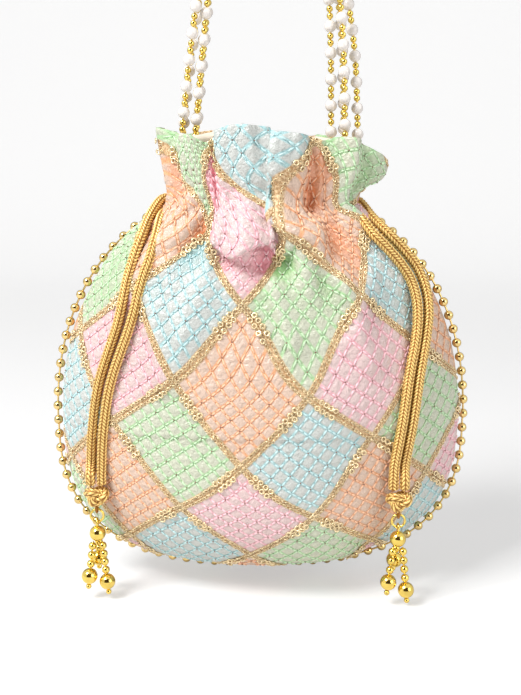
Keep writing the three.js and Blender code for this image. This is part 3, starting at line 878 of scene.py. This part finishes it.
def on_panel(across, up, back, lift):
    """Points on the worked cloth, the directions off it, and which of the points lie on the cloth."""
    arc, level, found = panel_place(across, up)
    whole = found & (np.abs(arc) < 0.98 * ROW_ARC[-1]) & (level > 3) & (level < MOUTH_Z - 0.6)

    def run(along, rise):
        """How the plain cloth runs from one side of each point to the other."""
        low, high = (panel_surface(arc + k * along, level + k * rise, back, relief=False) for k in (-1, 1))
        return high - low
    outward = unit(np.cross(run(0.6, 0), run(0, 0.6)))
    return panel_surface(arc, level, back) + outward * lift, outward, whole


def lattice_lines():
    """The numbers of the cell lines that can meet a panel."""
    return np.arange(-4 * CELLS, 5 * CELLS + 1) / CELLS


def flat_from_square(i, j):
    """The flat cloth's place of a place in squares."""
    x = (i + (j - 1)) * HALF_DIAGONAL
    y = (i - (j - 1)) * HALF_DIAGONAL
    return x + FIRST_CORNER[0], y + FIRST_CORNER[1]


def stitch_runs(parts):
    """Both ends of every stitch, in squares: parts stitches along each side of each cell."""
    lines = lattice_lines()
    line, step = np.meshgrid(lines, lines, indexing="ij")
    line, step = line.ravel(), step.ravel()
    starts, ends = [], []
    for part in range(parts):
        low = step + part / parts / CELLS
        high = step + (part + 1) / parts / CELLS
        starts += [np.stack([line, low], -1), np.stack([low, line], -1)]
        ends += [np.stack([line, high], -1), np.stack([high, line], -1)]
    starts, ends = np.concatenate(starts), np.concatenate(ends)
    middle = (starts + ends) / 2
    clear = from_trim(middle[:, 0], middle[:, 1]) > TRIM_WIDTH / 2
    return starts[clear], ends[clear]


def stitches(name, back, parts):
    """The lattice of satin stitches, each a long thin ball."""
    starts, ends = stitch_runs(parts)
    first, off, good = on_panel(*flat_from_square(starts[:, 0], starts[:, 1]), back, STITCH_LIFT)
    second, _, also = on_panel(*flat_from_square(ends[:, 0], ends[:, 1]), back, STITCH_LIFT)
    both = good & also
    first, second, off = first[both], second[both], off[both]
    middle = (starts + ends)[both] / 2
    length = np.linalg.norm(second - first, axis=1)
    ball = template("ball", segments=6, ring_count=3)
    sizes = length[:, None] * [STITCH_OVERLAP, 0, 0] + [0, STITCH_WIDTH, STITCH_HEIGHT]
    threads = copies(ball, (first + second) / 2, sizes, second - first, off)
    across, up = flat_from_square(middle[:, 0], middle[:, 1])
    per_copy = len(ball[0])
    piece = piece_of(name, *threads)
    flat_map(piece, np.repeat(across, per_copy), np.repeat(up, per_copy))
    return piece


def crossing_knots(name, back):
    """A dark knot at most crossings of the stitches."""
    lines = lattice_lines()
    i, j = (grid.ravel() for grid in np.meshgrid(lines, lines, indexing="ij"))
    shown = (from_trim(i, j) > TRIM_WIDTH / 2) & (np.sin(37 * i + 91 * j) > -0.4)
    i, j = i[shown], j[shown]
    places, off, good = on_panel(*flat_from_square(i, j), back, 0.8)
    ball = template("ball", segments=6, ring_count=4)
    points, faces = copies(ball, places[good], CROSSING_KNOT, None, off[good] + [0.01, 0, 0])
    return piece_of(name, points, faces)


def trim_rows():
    """Places of the chain rings: two rows along every side of every square, in squares."""
    along = np.arange(-4, 5, RING_PITCH / SQUARE)
    rows = []
    for side in (-1, 1):
        for line in range(-4, 6):
            off_line = np.full_like(along, line + side * RING_ROW / SQUARE)
            rows.append(np.stack([off_line, along, 0 * along], -1))
            rows.append(np.stack([along, off_line, 0 * along + 1], -1))
    return np.concatenate(rows)


def sequin_places():
    """Ring sequins in pairs along each side of a square, below its upper corner, in squares."""
    places = []
    for i in range(-4, 5):
        for j in range(-4, 6):
            for k in range(4):
                share = (SEQUIN_START + SEQUIN_PITCH * k) / SQUARE
                for side in (-1, 1):
                    off_line = side * SEQUIN_ROW / SQUARE
                    places.append((i + 1 - share, j + off_line, 1))
                    places.append((i + off_line, j + share, 0))
    return np.array(places)


def ring_copies(shape, squares, back, lift, size, spread):
    """Rings laid flat on the cloth along their trim, each a little turned and tilted."""
    across, up = flat_from_square(squares[:, 0], squares[:, 1])
    places, off, good = on_panel(across, up, back, lift)
    along_i = squares[:, 2] > 0.5
    further = squares[:, :2] + 0.02 * np.stack([along_i, ~along_i], -1)
    ahead = on_panel(*flat_from_square(further[:, 0], further[:, 1]), back, lift)[0] - places
    places, off, ahead = places[good], off[good], unit(ahead[good])
    wobble = np.sin(np.outer(np.arange(len(places)), [12.9898, 78.233, 37.719]) * 43.7)
    return copies(shape, places, size, ahead + 0.3 * wobble[:, ::-1], unit(off + spread * wobble))


def trim(name, back):
    """The gold trim: two rows of chain rings, with ring sequins on them."""
    ring_sides, sequin_sides = (6, 8) if back else (8, 12)
    ring = template("ring", major_radius=0.36, minor_radius=0.14, major_segments=ring_sides,
                    minor_segments=3)
    sequin = template("ring", major_radius=0.34, minor_radius=0.15, major_segments=sequin_sides,
                      minor_segments=4)
    chain = ring_copies(ring, trim_rows(), back, 0.35, RING_SIZE, 0.3)
    sequins = ring_copies(sequin, sequin_places(), back, 0.8, SEQUIN_SIZE, 0.35)
    return piece_of(name, *together([(*chain, 0), (*sequins, 0)]))


def colour_setting(name, colour):
    return bpy.props.FloatVectorProperty(
        name=name.capitalize(), description=f"Colour of the {name} squares", subtype="COLOR", size=4,
        min=0, max=1, default=colour)


class ClothSettings(bpy.types.PropertyGroup):
    """Colours of the embroidered cloth."""
    orange: colour_setting("orange", shade(246, 192, 150))
    green: colour_setting("green", shade(196, 228, 184))
    blue: colour_setting("blue", shade(190, 224, 226))
    pink: colour_setting("pink", shade(248, 200, 208))


class POTLI_OT_cloth(bpy.types.Operator):
    """Makes the two embroidered panels with their stitches and gold trim"""
    bl_idname = "potli.cloth"
    bl_label = "Embroidered cloth"

    def execute(self, context):
        settings = context.scene.potli_cloth
        cloth = cloth_finish(settings)
        thread = thread_finish(settings)
        knot_thread = plain_finish("knot_thread", shade(150, 112, 100), 0.6)
        for side, (columns, rows) in PANEL_GRIDS.items():
            back = side == "back"
            panel = panel_grid(f"{side}_cloth", back, columns, rows)
            panel.data.materials.append(cloth)
            worked = stitches(f"{side}_stitches", back, 1 if back else 2)
            worked.data.materials.append(thread)
            knots = crossing_knots(f"{side}_crossing_knots", back)
            knots.data.materials.append(knot_thread)
            gold = trim(f"{side}_trim", back)
            gold.data.materials.append(trim_gold())
            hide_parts(f"{side}_panel")
            for piece in (panel, worked, knots, gold):
                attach(piece, "bag")
        return {"FINISHED"}


class POTLI_OT_lining(bpy.types.Operator):
    """Makes the satin lining"""
    bl_idname = "potli.lining"
    bl_label = "Lining"

    def execute(self, context):
        def surface(share_round, share_up):
            theta = share_round * 2 * math.pi
            level = np.interp(share_up, [0, 1], [LOWEST_ROW, MOUTH_Z - 1])
            held = smooth(CASING_Z - 16, CASING_Z - 9, level)
            held = held * (1 - smooth(CASING_Z + 8, CASING_Z + 15, level))
            creases = small_creases(theta, level, 0.0)
            closing = 60 * (1 - smooth(0, 0.02, share_up))
            inset = LINED_WALL + held * CHANNEL + 0.5 * np.abs(creases) + closing
            return cloth_point(theta, level, inset, held)
        piece = grid_piece("lining_satin", 160, 90, surface, closed_round=True)
        thicken(piece, LINING_THICKNESS)
        piece.data.materials.append(cream_satin())
        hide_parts("lining")
        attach(piece, "bag")
        return {"FINISHED"}


# Beads

def beads_along(line, pitch, start, diameter, shape):
    """Balls at even distances along a line."""
    arc = arc_of(line)
    centres = line_at(line, arc, np.arange(start, arc[-1] - start / 2, pitch))
    return copies(shape, centres, (diameter,) * 3)


def thread_tube(line, radius, sides=6):
    """A thin round thread along a line, with closed ends."""
    normal, other = line_frames(line)
    turn = np.arange(sides) / sides * 2 * math.pi
    rings = (line[:, None] + radius * np.cos(turn)[None, :, None] * normal[:, None]
             + radius * np.sin(turn)[None, :, None] * other[:, None])
    faces = []
    for k in range(len(line) - 1):
        for i in range(sides):
            a, b = k * sides + i, k * sides + (i + 1) % sides
            faces.append((a, b, b + sides, a + sides))
    faces.append(tuple(reversed(range(sides))))
    last = (len(line) - 1) * sides
    faces.append(tuple(range(last, last + sides)))
    return rings.reshape(-1, 3), faces


def rim_line():
    """The seam's outline with the beads' own distance from the cloth."""
    low = LOWEST_ROW + (WIDEST_Z - LOWEST_ROW) * (1 - np.cos(np.linspace(0, math.pi / 2, 300)))
    high = np.linspace(WIDEST_Z, RIM_TOP_Z, 300)[1:]
    up = np.concatenate([low, high])
    right = np.stack([half_width(up), 0 * up, up], axis=-1)
    left = right[::-1] * [-1, 1, 1]
    outline = resampled(np.concatenate([left, right]), 900)
    ahead = unit(np.gradient(outline, axis=0))
    outward = np.stack([ahead[:, 2], 0 * ahead[:, 0], -ahead[:, 0]], axis=-1)
    return outline + outward * (RIM_BEAD / 2 + SEAM_GAP)


class POTLI_OT_rim_beads(bpy.types.Operator):
    """Makes the string of gold beads along the seam"""
    bl_idname = "potli.rim_beads"
    bl_label = "Rim beads"

    def execute(self, context):
        line = resampled(rim_line(), 300)
        ball = template("ball", segments=16, ring_count=10)
        beads = beads_along(line, RIM_PITCH, RIM_PITCH / 2, RIM_BEAD, ball)
        piece = piece_of("rim_bead_string", *together([(*beads, 0), (*thread_tube(line, THREAD_RADIUS), 0)]))
        piece.data.materials.append(rim_gold())
        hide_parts("rim_beads")
        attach(piece, "bag")
        return {"FINISHED"}


# Drawcords

HANGING_RUNS = {
    "left_cord_outer": [(-48, 186.5, 0), (-52.7, 180, 4), (-57, 168, 4.6), (-63, 150, 1),
                        (-68, 129, 0), (-78, 100, 0), (-82.4, 75, 0), (-83.8, 58, 0)],
    "left_cord_inner": [(-47, 179.6, 0), (-48.5, 174, 0.4), (-51, 163, 0.4), (-56.4, 148, 0),
                        (-61.6, 129, 0), (-72, 100, 0), (-76.6, 75, 0), (-78, 58, 0)],
    "right_cord_outer": [(48, 185.5, 0), (57, 175, 4.6), (68, 164, 5), (77, 152, 4.4), (81, 138, 4),
                         (80.4, 123, 2), (77, 104, 1), (74, 82, 0.6), (70.4, 60, 0)],
    "right_cord_inner": [(47, 178.6, 0.8), (53.6, 170.6, 2.4), (64, 160, 2.6), (71.8, 149.4, 1.6),
                         (75.4, 137, 1.4), (75, 122, 0.6), (71.6, 104, 0), (68.6, 82, 0), (65, 60, 0)],
}
FRONT_THETA, FRONT_LEVEL = np.meshgrid(np.radians(np.arange(-90, 91, 1.0)), np.arange(1, MOUTH_Z, 1.2))
FRONT_CLOTH = cloth_point(FRONT_THETA, FRONT_LEVEL).reshape(-1, 3)


def resting_depth(x, z, radius):
    """How far in front of the seam plane a ball lies that rests on the front."""
    away = np.hypot(FRONT_CLOTH[:, 0] - x, FRONT_CLOTH[:, 2] - z)
    under = away < radius
    if not under.any():
        return 0.0
    reach = np.sqrt(radius ** 2 - away[under] ** 2) - FRONT_CLOTH[under, 1]
    return max(0.0, float(reach.max()))


KNOT_Z = 0.56 * WIDEST_Z


def knot_place(share):
    """The middle of a knot that rests on the front, at a share of the bag's half width."""
    x = share * float(half_width(np.float64(KNOT_Z)))
    return [x, -resting_depth(x, KNOT_Z, KNOT_WIDTH / 2 + CORD_CLEARANCE), KNOT_Z]


KNOTS = {"left": knot_place(-0.837), "right": knot_place(0.695)}


def run_line(name, knot):
    """The centre line of one hanging run, from the slit in the seam to the top of its knot."""
    seen = smooth_line(HANGING_RUNS[name], 40)
    points = []
    for k, (x, z, lift) in enumerate(seen):
        rest = resting_depth(x, z, CORD / 2 + CORD_CLEARANCE) + lift + 0.6
        points.append((x, -max(2.6 if k == 0 else 0, rest), z))
    side = 1 if knot[0] > 0 else -1
    x = knot[0] + side * (1 if name.endswith("outer") else -1) * (CORD + PAIR_GAP) / 2
    top = knot[2] + KNOT_HEIGHT / 2 + CORD_CLEARANCE
    points = points[::3] + [(x, knot[1], top + 5), (x, knot[1], top)]
    inside = (points[0][0] * 0.86, -1.5, points[0][2] - 0.5)
    return smooth_line([inside] + points, 420)


def braided(name, line, columns=6, pitch=1.7, closed=False):
    """A knitted cord: columns of slanted stitches that lean against each other."""
    arc = arc_of(line)
    normal, other = line_frames(line)

    def surface(share_round, share_along):
        far = share_along * arc[-1]
        column = share_round * columns
        place = column - np.floor(column) - 0.5
        lean = np.where(np.floor(column) % 2 == 0, 1, -1)
        beat = far / pitch + 1.2 * place * lean
        stitch = np.abs(np.sin(math.pi * beat)) ** 0.7 * np.sqrt(np.clip(1 - (2 * place) ** 2, 0, 1))
        # The stitch's height, kept on the points for the braid finish's painted shade between stitches
        surface.depth = stitch
        radius = CORD / 2 * (0.7 + 0.34 * stitch)
        if not closed:
            radius = radius * np.sqrt(np.clip(np.minimum(far, arc[-1] - far) / 0.8, 0, 1))
        turn = share_round * 2 * math.pi
        outward = np.cos(turn)[:, None] * line_at(normal, arc, far)
        outward = outward + np.sin(turn)[:, None] * line_at(other, arc, far)
        return line_at(line, arc, far) + radius[:, None] * outward
    return grid_piece(name, columns * 8, int(arc[-1] / 0.33), surface, closed_round=True)


class POTLI_OT_cords(bpy.types.Operator):
    """Makes the four hanging runs of the drawcords"""
    bl_idname = "potli.cords"
    bl_label = "Drawcords"

    def execute(self, context):
        for name in HANGING_RUNS:
            side = name.split("_")[0]
            line = run_line(name, KNOTS[side])
            piece = braided(f"{name}_braid", line)
            piece.data.materials.append(cord_gold())
            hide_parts(name)
            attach(piece, "bag")
            in_frame(line[0]).tolist()
            in_frame(line[::6]).tolist() + [in_frame(line[-1]).tolist()]
        for side in KNOTS:
            refinish(f"{side}_cord_in_casing", cord_gold())
        return {"FINISHED"}


def knot_line(centre):
    """The path of the cord round its own knot, flattened to the knot's size."""
    turn = np.linspace(0, 2 * math.pi, 360)
    x = np.sin(turn) + 2 * np.sin(2 * turn)
    z = np.cos(turn) - 2 * np.cos(2 * turn)
    y = -np.sin(3 * turn)
    wide = (KNOT_WIDTH - CORD * 0.9) / 2 / 3
    tall = (KNOT_HEIGHT - CORD * 0.9) / 2 / 3
    return np.stack([x * wide * 1.05, y * 1.9, z * tall * 1.15], axis=-1) + centre


def eye_ring(centre):
    ring = template("ring", major_radius=(EYE_HOLE + EYE_WIRE) / 2, minor_radius=EYE_WIRE / 2,
                    major_segments=20, minor_segments=8)
    return copies(ring, [centre], (1, 1, 1), [[0, 1, 0]], [[1, 0, 0]])


def eye_height(knot):
    return knot[2] - KNOT_HEIGHT / 2 - EYE_HOLE / 2 - 0.1


class POTLI_OT_knots(bpy.types.Operator):
    """Makes the two knots that tie the ends of the drawcords"""
    bl_idname = "potli.knots"
    bl_label = "Knots"

    def execute(self, context):
        for side, knot in KNOTS.items():
            piece = braided(f"{side}_tied_knot", knot_line(np.array(knot)), closed=True)
            eye = piece_of(f"{side}_knot_eye", *eye_ring([knot[0], knot[1], eye_height(knot)]))
            start_piece()
            eye.select_set(True)
            piece.select_set(True)
            bpy.context.view_layer.objects.active = piece
            bpy.ops.object.join()
            piece.data.materials.append(cord_gold())
            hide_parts(f"{side}_knot")
            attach(piece, "bag")
        return {"FINISHED"}


# Tassels

LINK_RADIUS = (LINK_WIDTH - LINK_WIRE) / 2
LINK_HANG = (EYE_HOLE - LINK_WIRE) / 2 - LINK_SLACK
EYE_IN_BEAD = 0.3
STRING_STARTS = [(-0.29, -0.1, -0.5), (0.29, -0.1, -0.5), (0, 0.375, -0.45)]
STRING_ENDS = {
    "left": [(-0.55, -0.15, -2.75), (0.55, -0.15, -3.1), (-0.08, 0.78, -1.9)],
    "right": [(-0.55, -0.15, -2.75), (0.55, -0.15, -3.25), (-0.08, 0.78, -1.65)],
}


def bead_string(start, end, small, large):
    """A string of small beads with a large one and a tip bead at its end."""
    ahead = unit(end - start)
    room = np.linalg.norm(end - start) - END_BEAD / 2
    count = max(1, int(room / SMALL_BEAD))
    centres = [start + ahead * (k + 0.5) * (room / count) for k in range(count)]
    tip = end + ahead * (END_BEAD + TIP_BEAD) / 2
    line = start + ahead * np.linspace(0, np.linalg.norm(tip - start), 4)[:, None]
    return [(*copies(small, centres, (SMALL_BEAD,) * 3), 0), (*copies(large, [end], (END_BEAD,) * 3), 0),
            (*copies(small, [tip], (TIP_BEAD,) * 3), 0), (*thread_tube(line, THREAD_RADIUS), 0)]


def link_ring(centre):
    wire = template("ring", major_radius=LINK_RADIUS, minor_radius=LINK_WIRE / 2,
                    major_segments=40, minor_segments=10)
    return copies(wire, [centre], (1, 1, 1), [[1, 0, 0]], [[0, -1, 0]])


def tassel_parts(side, eye):
    """The top bead under its eye, and the three strings of beads from it."""
    small = template("ball", segments=16, ring_count=10)
    large = template("ball", segments=32, ring_count=20)
    bead_top = eye[2] - (EYE_HOLE + EYE_WIRE) / 2 + EYE_IN_BEAD
    middle = np.array([eye[0], eye[1], bead_top - TOP_BEAD / 2])
    parts = [(*copies(large, [middle], (TOP_BEAD,) * 3), 0), (*eye_ring(eye), 0)]
    for start, end in zip(STRING_STARTS, STRING_ENDS[side]):
        first = middle + np.array(start) * TOP_BEAD
        parts += bead_string(first, middle + np.array(end) * END_BEAD, small, large)
    return parts


class POTLI_OT_tassels(bpy.types.Operator):
    """Makes the wire links and the bead tassels"""
    bl_idname = "potli.tassels"
    bl_label = "Tassels"

    def execute(self, context):
        for side, knot in KNOTS.items():
            link_top = eye_height(knot) - LINK_HANG
            ring = piece_of(f"{side}_ring", *link_ring([knot[0], knot[1], link_top - LINK_RADIUS]))
            ring.data.materials.append(bead_gold())
            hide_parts(f"{side}_link")
            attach(ring, f"{side}_link")
            eye = [knot[0], knot[1], link_top - 2 * LINK_RADIUS - LINK_HANG]
            tassel = piece_of(f"{side}_tassel", *together(tassel_parts(side, eye)))
            tassel.data.materials.append(bead_gold())
            strings = [f"{side}_bead_string_{k}" for k in (1, 2, 3)]
            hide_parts(f"{side}_tassel_top", *strings)
            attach(tassel, f"{side}_tassel")
        return {"FINISHED"}


# Handle

def box_middle_x(node):
    low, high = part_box(node)
    return (low.x + high.x) / 2 * 1000


STRANDS = [
    {"left": (1, -1), "top": -1, "right": (-2, 0)},
    {"left": (-1, -1), "top": -3, "right": (0, -1.25)},
    {"left": (-1, 1), "top": 3, "right": (2, 0)},
    {"left": (1, 1), "top": 1, "right": (0, 1.25)},
]
LEFT_LEAN = [(0, 0), (0.17, 2), (0.42, 5.5), (0.65, 10), (0.85, 21)]
RIGHT_LEAN = [(0, 0), (0.17, -0.4), (0.42, -1.6), (0.65, -5), (0.85, -15)]
TOP_X = 4


def strand_side(leans, end_x, place, top):
    rise = HANDLE_Z - PEARL / 2 - STRAND_Z
    x, y = place[0] * PACKING, place[1] * PACKING
    points = []
    for k, (up, lean) in enumerate(leans):
        spread = float(smooth(1, len(leans), k))
        points.append((end_x + lean + x * (1 - 0.6 * spread), y + (top - y) * spread, STRAND_Z + up * rise))
    return points


def strand_line(strand):
    top = strand["top"] * 1.03 * PACKING
    rising = strand_side(LEFT_LEAN, box_middle_x("left_handle_end"), strand["left"], top)
    falling = strand_side(RIGHT_LEAN, box_middle_x("right_handle_end"), strand["right"], top)
    return smooth_line(rising + [(TOP_X, top, HANDLE_Z - PEARL / 2)] + falling[::-1], 400)


class POTLI_OT_handle(bpy.types.Operator):
    """Makes the four strands of pearls and gold beads, and finishes their caps and stays"""
    bl_idname = "potli.handle"
    bl_label = "Handle"

    def execute(self, context):
        ball = template("ball", segments=20, ring_count=12)
        small = template("ball", segments=12, ring_count=8)
        for number, strand in enumerate(STRANDS, 1):
            line = strand_line(strand)
            length = arc_of(line)[-1]
            count = int(length / STRAND_PITCH)
            spare = (length - count * STRAND_PITCH) / 2
            pearls = beads_along(line, STRAND_PITCH, spare + PEARL / 2, PEARL, ball)
            first = beads_along(line, STRAND_PITCH, spare + PEARL + GOLD_BEAD / 2, GOLD_BEAD, small)
            second = beads_along(line, STRAND_PITCH, spare + PEARL + 1.5 * GOLD_BEAD, GOLD_BEAD, small)
            thread = thread_tube(resampled(line, 120), THREAD_RADIUS)
            parts = [(*pearls, 0), (*first, 1), (*second, 1), (*thread, 1)]
            piece = piece_of(f"pearl_string_{number}", *together(parts))
            piece.data.materials.append(pearl_coat())
            piece.data.materials.append(bead_gold())
            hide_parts(f"pearl_strand_{number}")
            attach(piece, "handle")
        for node in ("left_handle_end", "right_handle_end", "left_stay", "right_stay"):
            refinish(node, cream_satin())
        return {"FINISHED"}


# Stage

# The stage, in metres
FLOOR_GAP = 0.0015
PAPER_SIZE = 7
PAPER_RUN = 3.4
PAPER_BEND = 1.2
PAPER_FRONT = 2
LIT_PLACE = (0, 0, -0.22)
# The camera: its sensor in millimetres, then its focal length and its picture in pixels
SENSOR = 36
FOCAL_PIXELS = 1000
PICTURE_HEIGHT = 695


def paper_sweep(height):
    """White paper that runs back under the bag and curves up behind it."""
    def surface(share_across, share_back):
        far = share_back * PAPER_SIZE
        turn = np.clip((far - PAPER_RUN) / PAPER_BEND, 0, math.pi / 2)
        reach = np.minimum(far, PAPER_RUN) - PAPER_FRONT + PAPER_BEND * np.sin(turn)
        rise = PAPER_BEND * (1 - np.cos(turn)) + np.maximum(0, far - PAPER_RUN - PAPER_BEND * math.pi / 2)
        across = (share_across - 0.5) * PAPER_SIZE
        points = np.stack([across, reach, rise + height], axis=-1) * 1000
        points[..., 2] += HANDLE_Z
        return points
    return grid_piece("floor", 4, 120, surface)


def paper_finish():
    """Paper that takes the light and the shadows, and that the camera sees lighter towards the back."""
    finish = Finish("floor_paper", Roughness=0.95, Specular_IOR_Level=0.1)
    finish.set("Base Color", shade(244, 243, 242))
    place = finish.node("ShaderNodeTexCoord").outputs["Object"]
    parts = finish.node("ShaderNodeSeparateXYZ", {0: place})
    back = finish.step(Value(finish, parts.outputs[1]), 0.1, 2.2)
    glow = finish.mix(back, (0.45, 0.45, 0.45, 1), (0.66, 0.66, 0.66, 1))
    glow = finish.node("ShaderNodeEmission", {"Color": glow, "Strength": 1.0})
    paper = finish.node("ShaderNodeBsdfDiffuse", {"Color": (0.53, 0.53, 0.53, 1)})
    sight = finish.node("ShaderNodeAddShader", {0: paper.outputs[0], 1: glow.outputs[0]})
    seen = finish.node("ShaderNodeLightPath").outputs["Is Camera Ray"]
    both = finish.node("ShaderNodeMixShader", {0: seen, 1: finish.shader.outputs[0], 2: sight.outputs[0]})
    fill(finish.tree, finish.tree.nodes["Material Output"].inputs[0], both.outputs[0])
    return finish.material


def far_wall():
    """A dark wall in front of the bag. It shows in reflections, but not to the camera."""
    start_piece()
    bpy.ops.mesh.primitive_plane_add(size=1, location=(0.1, -1.1, 0.33), rotation=(-math.pi / 2, 0, 0))
    bpy.ops.transform.resize(value=(2.0, 1, 1.4))
    bpy.ops.object.transform_apply(location=False, rotation=True, scale=True)
    wall = named("far_side_of_room")
    wall.visible_camera = False
    wall.data.materials.append(plain_finish("far_wall", shade(58, 42, 28), 0.9))
    return wall


def add_room(scene):
    """White to the camera, in reflections and through clear things, and softer as light on the bag."""
    world = bpy.data.worlds.new("room")
    world.use_nodes = True
    scene.world = world
    tree = world.node_tree
    tree.nodes.clear()
    path = add_node(tree, "ShaderNodeLightPath").outputs
    sockets = {0: path["Is Camera Ray"], 1: path["Is Glossy Ray"]}
    seen = add_node(tree, "ShaderNodeMath", sockets, operation="MAXIMUM").outputs[0]
    sockets = {0: seen, 1: path["Is Transmission Ray"]}
    seen = add_node(tree, "ShaderNodeMath", sockets, operation="MAXIMUM").outputs[0]
    lit = add_node(tree, "ShaderNodeBackground", {"Color": WHITE, "Strength": scene.potli_stage.light})
    white = add_node(tree, "ShaderNodeBackground", {"Color": WHITE})
    mixed = add_node(tree, "ShaderNodeMixShader", {0: seen, 1: lit.outputs[0], 2: white.outputs[0]})
    add_node(tree, "ShaderNodeOutputWorld", {0: mixed.outputs[0]})


def add_lamp(name, place, size, power):
    """A square soft light that faces the middle of the bag."""
    start_piece()
    bpy.ops.object.light_add(type="AREA", location=place)
    lamp = bpy.context.object
    lamp.name = name
    lamp.data.size = size
    lamp.data.energy = power
    aim = np.array(LIT_PLACE) - np.array(place)
    flat = math.hypot(aim[0], aim[1])
    lamp.rotation_euler = (math.atan2(flat, -aim[2]), 0, math.atan2(-aim[0], aim[1]))


def add_camera(scene):
    """A camera in front of the bag that looks slightly down."""
    data = bpy.data.cameras.new("camera")
    data.lens = SENSOR * FOCAL_PIXELS / PICTURE_HEIGHT
    camera = bpy.data.objects.new("camera", data)
    camera.location = (0, -0.5, 0.2 - HANDLE_Z * MM)
    camera.rotation_euler = (math.radians(80), 0, 0)
    scene.collection.objects.link(camera)
    scene.camera = camera


class StageSettings(bpy.types.PropertyGroup):
    """The plain studio."""
    light: bpy.props.FloatProperty(
        name="Light", description="Strength of the room's light", default=0.4, min=0, max=4)


class POTLI_OT_stage(bpy.types.Operator):
    """Makes the pale floor, the soft light and the camera"""
    bl_idname = "potli.stage"
    bl_label = "Stage"

    def execute(self, context):
        floor = paper_sweep(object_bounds()[0].z - FLOOR_GAP)
        floor.data.materials.append(paper_finish())
        floor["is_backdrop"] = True
        far_wall()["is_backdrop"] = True
        add_room(context.scene)
        context.scene.view_settings.view_transform = "Standard"
        add_lamp("key", (-0.7, -0.6, 0.75), 0.5, 21.0)
        add_lamp("fill", (0.9, -0.8, 0.1), 0.8, 5.5)
        add_camera(context.scene)
        return {"FINISHED"}


STEPS = (POTLI_OT_cloth, POTLI_OT_lining, POTLI_OT_rim_beads, POTLI_OT_knots, POTLI_OT_tassels,
         POTLI_OT_cords, POTLI_OT_handle, POTLI_OT_stage)


class POTLI_PT_panel(bpy.types.Panel):
    """Lists the steps that make the bag"""
    bl_idname = "POTLI_PT_panel"
    bl_label = "Potli bag"
    bl_space_type = "VIEW_3D"
    bl_region_type = "UI"
    bl_category = "Potli"

    def draw(self, context):
        layout = self.layout
        for name in FIELDS:
            layout.prop(context.scene.potli_cloth, name)
        layout.prop(context.scene.potli_stage, "light")
        for step in STEPS:
            layout.operator(step.bl_idname)


CLASSES = (ClothSettings, StageSettings, *STEPS, POTLI_PT_panel)


def register():
    for item in CLASSES:
        bpy.utils.register_class(item)
    bpy.types.Scene.potli_cloth = bpy.props.PointerProperty(type=ClothSettings)
    bpy.types.Scene.potli_stage = bpy.props.PointerProperty(type=StageSettings)


def unregister():
    del bpy.types.Scene.potli_cloth
    del bpy.types.Scene.potli_stage
    for item in reversed(CLASSES):
        bpy.utils.unregister_class(item)


def main():
    register()
    bpy.ops.potli.cloth()
    bpy.ops.potli.lining()
    bpy.ops.potli.rim_beads()
    bpy.ops.potli.knots()
    bpy.ops.potli.tassels()
    bpy.ops.potli.cords()
    bpy.ops.potli.handle()
    bpy.ops.potli.stage()


if __name__ == "__main__":
    main()
